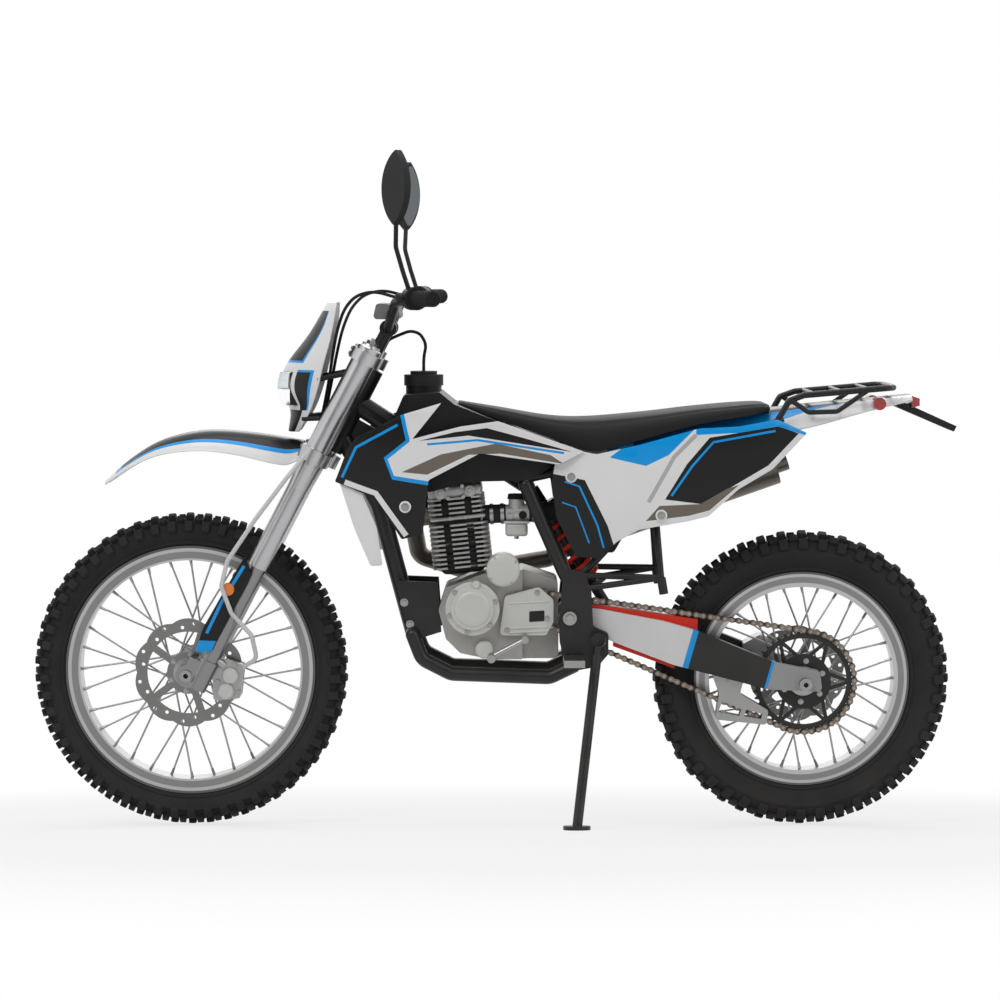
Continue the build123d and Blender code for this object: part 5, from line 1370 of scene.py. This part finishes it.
SMALL = bolt_template(4.5)
MEDIUM = bolt_template(6.5)
LARGE = bolt_template(11.0)
ROUND_COVER = (-52, 502)
SMALL_COVER = (16, 588)
COVER_SIDE = -104
PLATE_SIDE = -86
PIVOT_SIDE = 110
ENGINE_PLATE_BOLTS = [(-205, 511), (-192, 462)]
ENGINE_PLATE_SIDE = 62
FORK_TOP = 250
# Each step of a fork cap: from, to, radius, sides and tip radius.
FORK_CAP = [(-1, 5, 22, 28, 20), (4, 12, 13, 6, 13), (11, 16, 5, 16, 5)]
CLAMP_BOLTS = (-28, -14, 218, 230)


def make_frame_bolts():
    bm = bmesh.new()
    stamp_bolts(bm, SMALL, ring_of(ROUND_COVER, COVER_SIDE, 53, 6, 0.3), LEFT)
    stamp_bolts(bm, SMALL, ring_of(SMALL_COVER, COVER_SIDE, 30, 4, 0.6), LEFT)
    stamp_bolts(bm, SMALL, [(x, PLATE_SIDE, z) for x, z in ((24, 452), (114, 478), (92, 536))], LEFT)
    stamp_bolts(bm, SMALL, ring_of((40, 480), 112, 60, 8), RIGHT)
    stamp_bolts(bm, SMALL, ring_of((-62, 470), 100, 38, 4, 0.5), RIGHT)
    for sign, facing in ((-1, LEFT), (1, RIGHT)):
        stamp_bolts(bm, LARGE, [(PIVOT.x, sign * PIVOT_SIDE, PIVOT.z)], facing)
        stamp_bolts(bm, MEDIUM, [(x, sign * ENGINE_PLATE_SIDE, z) for x, z in ENGINE_PLATE_BOLTS], facing)
    return piece("frame_bolts", bm, [STEEL], "frame")


def make_steering_bolts():
    bm = bmesh.new()
    for side in (-1, 1):
        cap = on_steer(-FORK_OFFSET, side * FORK_HALF_SPAN, FORK_TOP)
        for low, high, radius, sides, tip in FORK_CAP:
            tube(bm, cap + AXIS_UP * low, cap + AXIS_UP * high, radius, sides, tip)
        for up in CLAMP_BOLTS:
            spot = on_steer(-FORK_OFFSET - 34, side * (FORK_HALF_SPAN - 16), up)
            stamp_bolts(bm, SMALL, [spot], -AXIS_BACK)
    return piece("steering_bolts", bm, [STEEL], "steering")


make_frame_bolts()
make_steering_bolts()

# %% [markdown]
# The spokes are part of each rim's solid. What it lacks are the nipples where the spokes meet the rim, and
# the bolts of the disc and chainwheel. A nipple has to lie along its spoke, so both ends of every spoke are
# worked out again here.

# %% Wheel fastenings
SPOKE_PAIRS = 16
HUB_ROOT_R = 41.0
HUB_ROOT_SIDE = 37.0
SPOKE_CROSS = 62.0
NIPPLE_LENGTH = 15.0
NIPPLE_R = 3.6
NIPPLE_TIP_R = 2.9
RIM_ROOT_SIDE = 6.0


def add_nipples(bm, axle, floor_r):
    for side in (-1, 1):
        for i in range(SPOKE_PAIRS):
            turn = 360.0 * i / SPOKE_PAIRS + (0 if side < 0 else 180.0 / SPOKE_PAIRS)
            a = radians(turn)
            b = radians(turn + (SPOKE_CROSS if i % 2 else -SPOKE_CROSS))
            start = axle + Vector((HUB_ROOT_R * cos(b), side * HUB_ROOT_SIDE, HUB_ROOT_R * sin(b)))
            end = axle + Vector((floor_r * cos(a), side * RIM_ROOT_SIDE, floor_r * sin(a)))
            back = (start - end).normalized()
            tube(bm, end, end + back * NIPPLE_LENGTH, NIPPLE_R, sides=8, tip_radius=NIPPLE_TIP_R)


def make_wheel_trims(name, axle, floor_r, faces, body):
    bm = bmesh.new()
    add_nipples(bm, axle, floor_r)
    for side, radius, count in faces:
        places = ring_of((axle.x, axle.z), side, radius, count, 0.4)
        stamp_bolts(bm, SMALL, places, (0, side, 0))
    return piece(name, bm, [STEEL], body)


make_wheel_trims("front_wheel_trims", FRONT_AXLE, 248.0, [(-68, 41, 6)], "front_wheel")
make_wheel_trims("rear_wheel_trims", REAR_AXLE, 208.0, [(68, 41, 6), (-67, 46, 6)], "rear_wheel")

# %% [markdown]
# ## Chain guide and engine trim
# The guide under the arm keeps the chain on its wheel. It is two alloy cheeks with windows in them, held
# apart by spacers. A Boolean could cut the windows. The panel helper already cuts clean lines into a flat
# face, so they are cut in as colour fields are, and their faces are taken out. The outline is known in the
# arm's own frame.

# %% Chain guide
GUIDE_SIDE = [(-203, -37), (-131, -33), (-131, -63), (-59, -82), (-55, -115), (-168, -134), (-176, -75)]
GUIDE_WINDOWS = [[(-166, -116), (-118, -112), (-118, -96), (-164, -90)],
                 [(-108, -110), (-70, -105), (-70, -94), (-108, -94)]]
GUIDE_SPACERS = [(-154, -118), (-163, -42)]
GUIDE_SIDES = (-79.5, -52.5)
GUIDE_WALL = 4.0


def arm_points(points):
    """Side-view points given from the rear axle along the arm, and above it."""
    spots = [REAR_AXLE + ARM_ALONG * along + ARM_UP * up for along, up in points]
    return [(spot.x, spot.z) for spot in spots]


def make_chain_guide():
    bm = bmesh.new()
    windows = [arm_points(window) for window in GUIDE_WINDOWS]
    for side in GUIDE_SIDES:
        cheek = flat_panel(arm_points(GUIDE_SIDE), 6.0, 30.0, [(1, window) for window in windows])
        holes = [face for face in cheek.faces if face.material_index]
        bmesh.ops.delete(cheek, geom=holes, context="FACES")
        for vert in cheek.verts:
            vert.co.y = side
        bmesh.ops.solidify(cheek, geom=cheek.faces[:], thickness=GUIDE_WALL)
        soften_rim(cheek, 0.8)
        merge(bm, cheek)
    for x, z in arm_points(GUIDE_SPACERS):
        tube(bm, (x, GUIDE_SIDES[0] - 1, z), (x, GUIDE_SIDES[1] + 1, z), 6)
        stamp_bolts(bm, SMALL, [(x, GUIDE_SIDES[0] - 2, z)], LEFT)
    return piece("chain_guide_cheeks", bm, [ALLOY], "frame", ["chain_guide"])


make_chain_guide()

# %% [markdown]
# Small covers, ribs and a dark window finish the plain castings. Each cover is a line spun into a boss,
# because a bevelled cylinder would give one step and the real ones have several.

# %% Engine trim
# Each boss: its (outward, radius) profile, its centre in side view, and the face it stands on.
ENGINE_BOSSES = [
    ([(0, 50), (3, 49), (4, 47), (4, 44), (3, 42), (0, 41)], ROUND_COVER, COVER_SIDE),
    ([(0, 40), (5, 39), (7, 35), (7.5, 20), (7.5, 0.2)], ROUND_COVER, COVER_SIDE - 5),
    ([(0, 35), (3, 34.5), (5, 31), (5, 0.2)], SMALL_COVER, COVER_SIDE),
    ([(0, 20), (18, 20), (21, 17), (21, 0.2)], (-26, 408), -70),
    ([(0, 9), (6, 9), (8, 7), (8, 0.2)], (-44, 556), COVER_SIDE),
]
COVER_WINDOW = [(74, 470), (108, 472), (108, 496), (74, 494)]
COVER_RIBS = (446, 456, 512)


def turned(bm, profile, centre, side, steps=36, material=0):
    """A ring or boss turned about a line across the bike, from (outward, radius) points."""
    made = bmesh.new()
    spin_line(made, [(0, -outward, radius) for outward, radius in profile], RIGHT, steps)
    merge(bm, made, Matrix.Translation((centre[0], side, centre[1])), material)


def make_engine_trim():
    bm = bmesh.new()
    for profile, centre, side in ENGINE_BOSSES:
        turned(bm, profile, centre, side)
    window = flat_panel(COVER_WINDOW, 2.0, 40.0, [])
    for vert in window.verts:
        vert.co.y = PLATE_SIDE - 0.6
    bmesh.ops.solidify(window, geom=window.faces[:], thickness=1.4)
    merge(bm, window, material=1)
    for z in COVER_RIBS:
        tube(bm, (30, PLATE_SIDE, z), (116, PLATE_SIDE, z + 4), 2.4, sides=8)
    return piece("engine_trim", bm, [COVER_ALLOY, BLACK_PLASTIC], "frame")


make_engine_trim()

# %% [markdown]
# An air-cooled cylinder is a stack of thin fins on a core. An Array modifier could repeat a fin, but it
# keeps one size, and the head's fins are smaller. So one flat fin, with round corners and slots in two of
# its sides, is drawn for each stack, thickened and stamped up the barrel. A rocker cover with two round
# caps closes the top.

# %% Cylinder
CYLINDER_PLACE = Matrix.Translation((-72, 0, 575)) @ Matrix.Rotation(radians(-6), 4, "Y")
FIN = 4.2
FIN_CORNER = 24.0
FIN_SLOTS = (26.0, -26.0)
SLOT_HALF = 8.0
SLOT_DEEP = 15.0
FIN_STEP = 10.5
# Each stack of fins: half width, height of the lowest, how many.
FIN_STACKS = [(67, 14, 10), (64, 136, 4)]
# Each block: size, middle, bevel and finish. They are the barrel's core, the head's core, the joint between
# them and the rocker cover.
CYLINDER_BLOCKS = [((100, 104, 150), (0, 0, 75), 14, 1), ((104, 108, 52), (0, 0, 148), 14, 1),
                   ((124, 124, 9), (0, 0, 126), 4, 0), ((122, 116, 28), (0, 0, 184), 9, 2)]
ROCKER_CAP = [(0, 13), (7, 13), (9, 11), (9, 0.2)]
CAP_HEAD = [(0, 6), (4, 6), (4, 0.2)]
ROCKER_CAPS = (-34, 34)
ROCKER_HEIGHT = 184
HEAD_BOLTS = (126, 172, 196)


def fin_outline(half):
    """Corner arcs and slots, once round the fin."""
    points = []
    for sign, start in ((1, 0), (-1, 180)):
        for along, turn in ((1, start), (-1, start + 90)):
            centre = Vector((sign * along, sign)) * (half - FIN_CORNER)
            for step in range(7):
                angle = radians(turn + 15 * step)
                points.append(centre + FIN_CORNER * Vector((cos(angle), sin(angle))))
            if along > 0:
                for slot in FIN_SLOTS:
                    ends = (SLOT_HALF, SLOT_HALF, -SLOT_HALF, -SLOT_HALF)
                    for end, depth in zip(ends, (0, SLOT_DEEP, SLOT_DEEP, 0)):
                        points.append(sign * Vector((slot + end, half - depth)))
    return points


def fin_template(half):
    bm = bmesh.new()
    bm.faces.new([bm.verts.new((point.x, point.y, 0)) for point in fin_outline(half)])
    draw_out(bm, (0, 0, FIN))
    return as_mesh(bm, "fin")


def block(size, middle, bevel, material=0):
    """A box with rounded edges, kept to be stamped."""
    bm = bmesh.new()
    bmesh.ops.create_cube(bm, size=1.0)
    bmesh.ops.scale(bm, vec=size, verts=bm.verts)
    bmesh.ops.bevel(bm, geom=bm.edges[:], offset=bevel, segments=3, profile=0.5, affect="EDGES", material=-1)
    bmesh.ops.translate(bm, vec=middle, verts=bm.verts)
    return as_mesh(bm, "block", material)


def make_cylinder():
    bm = bmesh.new()
    for block_shape in CYLINDER_BLOCKS:
        stamp(bm, block(*block_shape), CYLINDER_PLACE)
    for half, lowest, count in FIN_STACKS:
        fin = fin_template(half)
        for i in range(count):
            stamp(bm, fin, CYLINDER_PLACE @ Matrix.Translation((0, 0, lowest + FIN_STEP * i)))
    for along in ROCKER_CAPS:
        cap = CYLINDER_PLACE @ Vector((along, 0, ROCKER_HEIGHT))
        turned(bm, ROCKER_CAP, (cap.x, cap.z), -57, material=2)
        turned(bm, CAP_HEAD, (cap.x, cap.z), -66, steps=6, material=3)
        for up in HEAD_BOLTS:
            spot = CYLINDER_PLACE @ Vector((along / 2, -60, up))
            tube(bm, spot, spot + Vector((0, -5, 0)), 4.5, sides=6, material=3)
    materials = [FIN_ALLOY, BLACK_PLASTIC, COVER_ALLOY, STEEL]
    return piece("finned_cylinder", bm, materials, "frame", ["cylinder"])


make_cylinder()

# %% [markdown]
# The carburettor sits between the engine's intake and the air box, on rubber stubs with steel bands. One
# long spun profile could make the run, but its lengths have different finishes. So it is a row of tubes
# along the intake line, which rises 1 in 22, with a slide tower above it and a float bowl below.

# %% Carburettor
CARB_SIDE = -30.0
CARB_X = 46
# Each length of the intake line: where it starts and ends, its radius and finish.
INTAKE = [(18, 80, 20, 0), (-30, 22, 21, 1), (74, 190, 22, 1)]
INTAKE += [(x - 4, x + 4, 23.5, 2) for x in (-10, 14, 84, 150)]
# The slide's tower, its cap, the drain screw, then the idle screw and the choke knob on the outer face.
UPRIGHTS = [(708, 744, 18, 28, 18, 0), (741, 752, 21, 18, 19, 1), (660, 651, 6, 6, 6, 2)]
KNOBS = [(32, 704, 18, 27, 6, 2), (60, 706, 20, 25, 9, 1)]
# The float bowl and its flange: size, height of the middle, bevel.
BOWLS = [((50, 44, 30), 673, 7), ((58, 50, 6), 690, 2)]


def make_carburettor():
    """Alloy body and float bowl between two rubber stubs with steel bands."""
    bm = bmesh.new()
    for start, end, radius, material in INTAKE:
        ends = [Vector((x, CARB_SIDE, 706 + (x + 30) / 22)) for x in (start, end)]
        tube(bm, *ends, radius, sides=28, material=material)
    for low, high, radius, sides, tip, material in UPRIGHTS:
        tube(bm, (CARB_X, CARB_SIDE, low), (CARB_X, CARB_SIDE, high), radius, sides, tip, material)
    for size, middle, bevel in BOWLS:
        stamp(bm, block(size, (CARB_X, CARB_SIDE, middle), bevel), Matrix.Identity(4))
    for x, z, near, far, radius, material in KNOBS:
        tube(bm, (x, CARB_SIDE - near, z), (x, CARB_SIDE - far, z), radius, sides=16, material=material)
    materials = [COVER_ALLOY, RUBBER, STEEL]
    return piece("carburettor_body", bm, materials, "frame", ["carburettor"])


make_carburettor()

# %% [markdown]
# The real chainwheel is a steel plate with large openings between slim arms. Cutting the openings from a
# disc with a Boolean could do it, at the risk of torn faces near the teeth. Here a toothed rim and a hub
# ring are each four loops of points joined by faces, and pairs of bevelled arms reach from one to the other.

# %% Chainwheel
WHEEL_ROOT_R = REAR_PITCH_R - 5.7
WHEEL_TIP_R = REAR_PITCH_R + 1.5
WHEEL_RIM_R = 97.0
WHEEL_HUB_R = 62.0
WHEEL_BORE_R = 34.0
WHEEL_HALF_T = 3.0
WHEEL_ARMS = 6
ARM_SWEEP = 19.0
ARM_SPREAD = 0.45
ARM_OVERLAP = 16.0
ARM_WIDTH = 8.0


def flat_ring(bm, outer, inner):
    """A washer between two lists of as many points."""
    loops = []
    for line, side in ((outer, -1), (outer, 1), (inner, 1), (inner, -1)):
        loops.append([bm.verts.new((x, side * WHEEL_HALF_T, z)) for x, z in line])
    for one, two in zip(loops, loops[1:] + loops[:1]):
        for i in range(len(one)):
            j = (i + 1) % len(one)
            bm.faces.new((one[i], one[j], two[j], two[i]))


def circle_points(turns, radii):
    return [(r * cos(2 * pi * turn), r * sin(2 * pi * turn)) for turn, r in zip(turns, radii)]


def make_chainwheel():
    bm = bmesh.new()
    tooth = [(-0.28, WHEEL_ROOT_R), (-0.07, WHEEL_TIP_R), (0.07, WHEEL_TIP_R), (0.28, WHEEL_ROOT_R)]
    turns = [(i + offset) / WHEEL_TEETH for i in range(WHEEL_TEETH) for offset, r in tooth]
    teeth = [r for offset, r in tooth] * WHEEL_TEETH
    radii = (WHEEL_RIM_R, WHEEL_HUB_R, WHEEL_BORE_R)
    rim, hub, bore = [circle_points(turns, [r] * len(turns)) for r in radii]
    flat_ring(bm, circle_points(turns, teeth), rim)
    flat_ring(bm, hub, bore)
    middle = (WHEEL_RIM_R + WHEEL_HUB_R) / 2 + 1
    arm_size = (WHEEL_RIM_R - WHEEL_HUB_R + ARM_OVERLAP, 2 * WHEEL_HALF_T - 0.6, ARM_WIDTH)
    arm = block(arm_size, (0, 0, 0), 1.2)
    for i in range(WHEEL_ARMS):
        for sweep in (ARM_SWEEP, -ARM_SWEEP):
            turn = Matrix.Rotation(2 * pi * i / WHEEL_ARMS, 4, "Y")
            spot = Matrix.Translation((middle, 0, sweep * ARM_SPREAD))
            stamp(bm, arm, turn @ spot @ Matrix.Rotation(radians(sweep), 4, "Y"))
    bmesh.ops.translate(bm, vec=REAR_AXLE + Vector((0, CHAIN_SIDE, 0)), verts=bm.verts)
    return piece("open_chainwheel", bm, [BLACK_STEEL], "rear_wheel", ["rear_sprocket"])


make_chainwheel()

# %% [markdown]
# Two caps close the pistons of the front caliper, and the bolts that hold the shrouds and side panels have
# white collars. All of them are round and stepped, so they are turned from short profiles, as the engine's
# covers are. Bevelled cylinders would need one for each step.

# %% Caliper caps and panel bolts
CALIPER_FACE = -96.0
CALIPER_MIDDLE = (92, -20)
CALIPER_CAPS = [(4, 17), (-6, -18)]
CALIPER_BOLTS = [(-24, 4), (22, -20), (14, 42)]
PISTON_CAP = [(0, 18), (6, 18), (9, 15), (9, 0.2)]
PANEL_BOLTS = [(-198, 736, SHROUD_PLAN), (166, 797, PANEL_PLAN), (364, 713, PANEL_PLAN)]
BOLT_RING = [(0, 13), (2.5, 13), (3, 12), (3, 6)]


def make_caliper_caps():
    bm = bmesh.new()
    x = FRONT_AXLE.x + CALIPER_MIDDLE[0]
    z = FRONT_AXLE.z + CALIPER_MIDDLE[1]
    for along, up in CALIPER_CAPS:
        turned(bm, PISTON_CAP, (x + along, z + up), CALIPER_FACE)
    for along, up in CALIPER_BOLTS:
        head = Vector((x + along, CALIPER_FACE, z + up))
        tube(bm, head - Vector(LEFT), head + Vector(LEFT) * 6, 5.5, sides=6, material=1)
    return piece("caliper_caps", bm, [COVER_ALLOY, STEEL], "steering")


def make_panel_bolts():
    bm = bmesh.new()
    for x, z, plan in PANEL_BOLTS:
        side = curve_at(plan, x)
        turned(bm, BOLT_RING, (x, z), side, material=1)
        stamp_bolts(bm, MEDIUM, [(x, side - 2, z)], LEFT)
    return piece("panel_bolts", bm, [STEEL, WHITE], "frame")


make_caliper_caps()
make_panel_bolts()
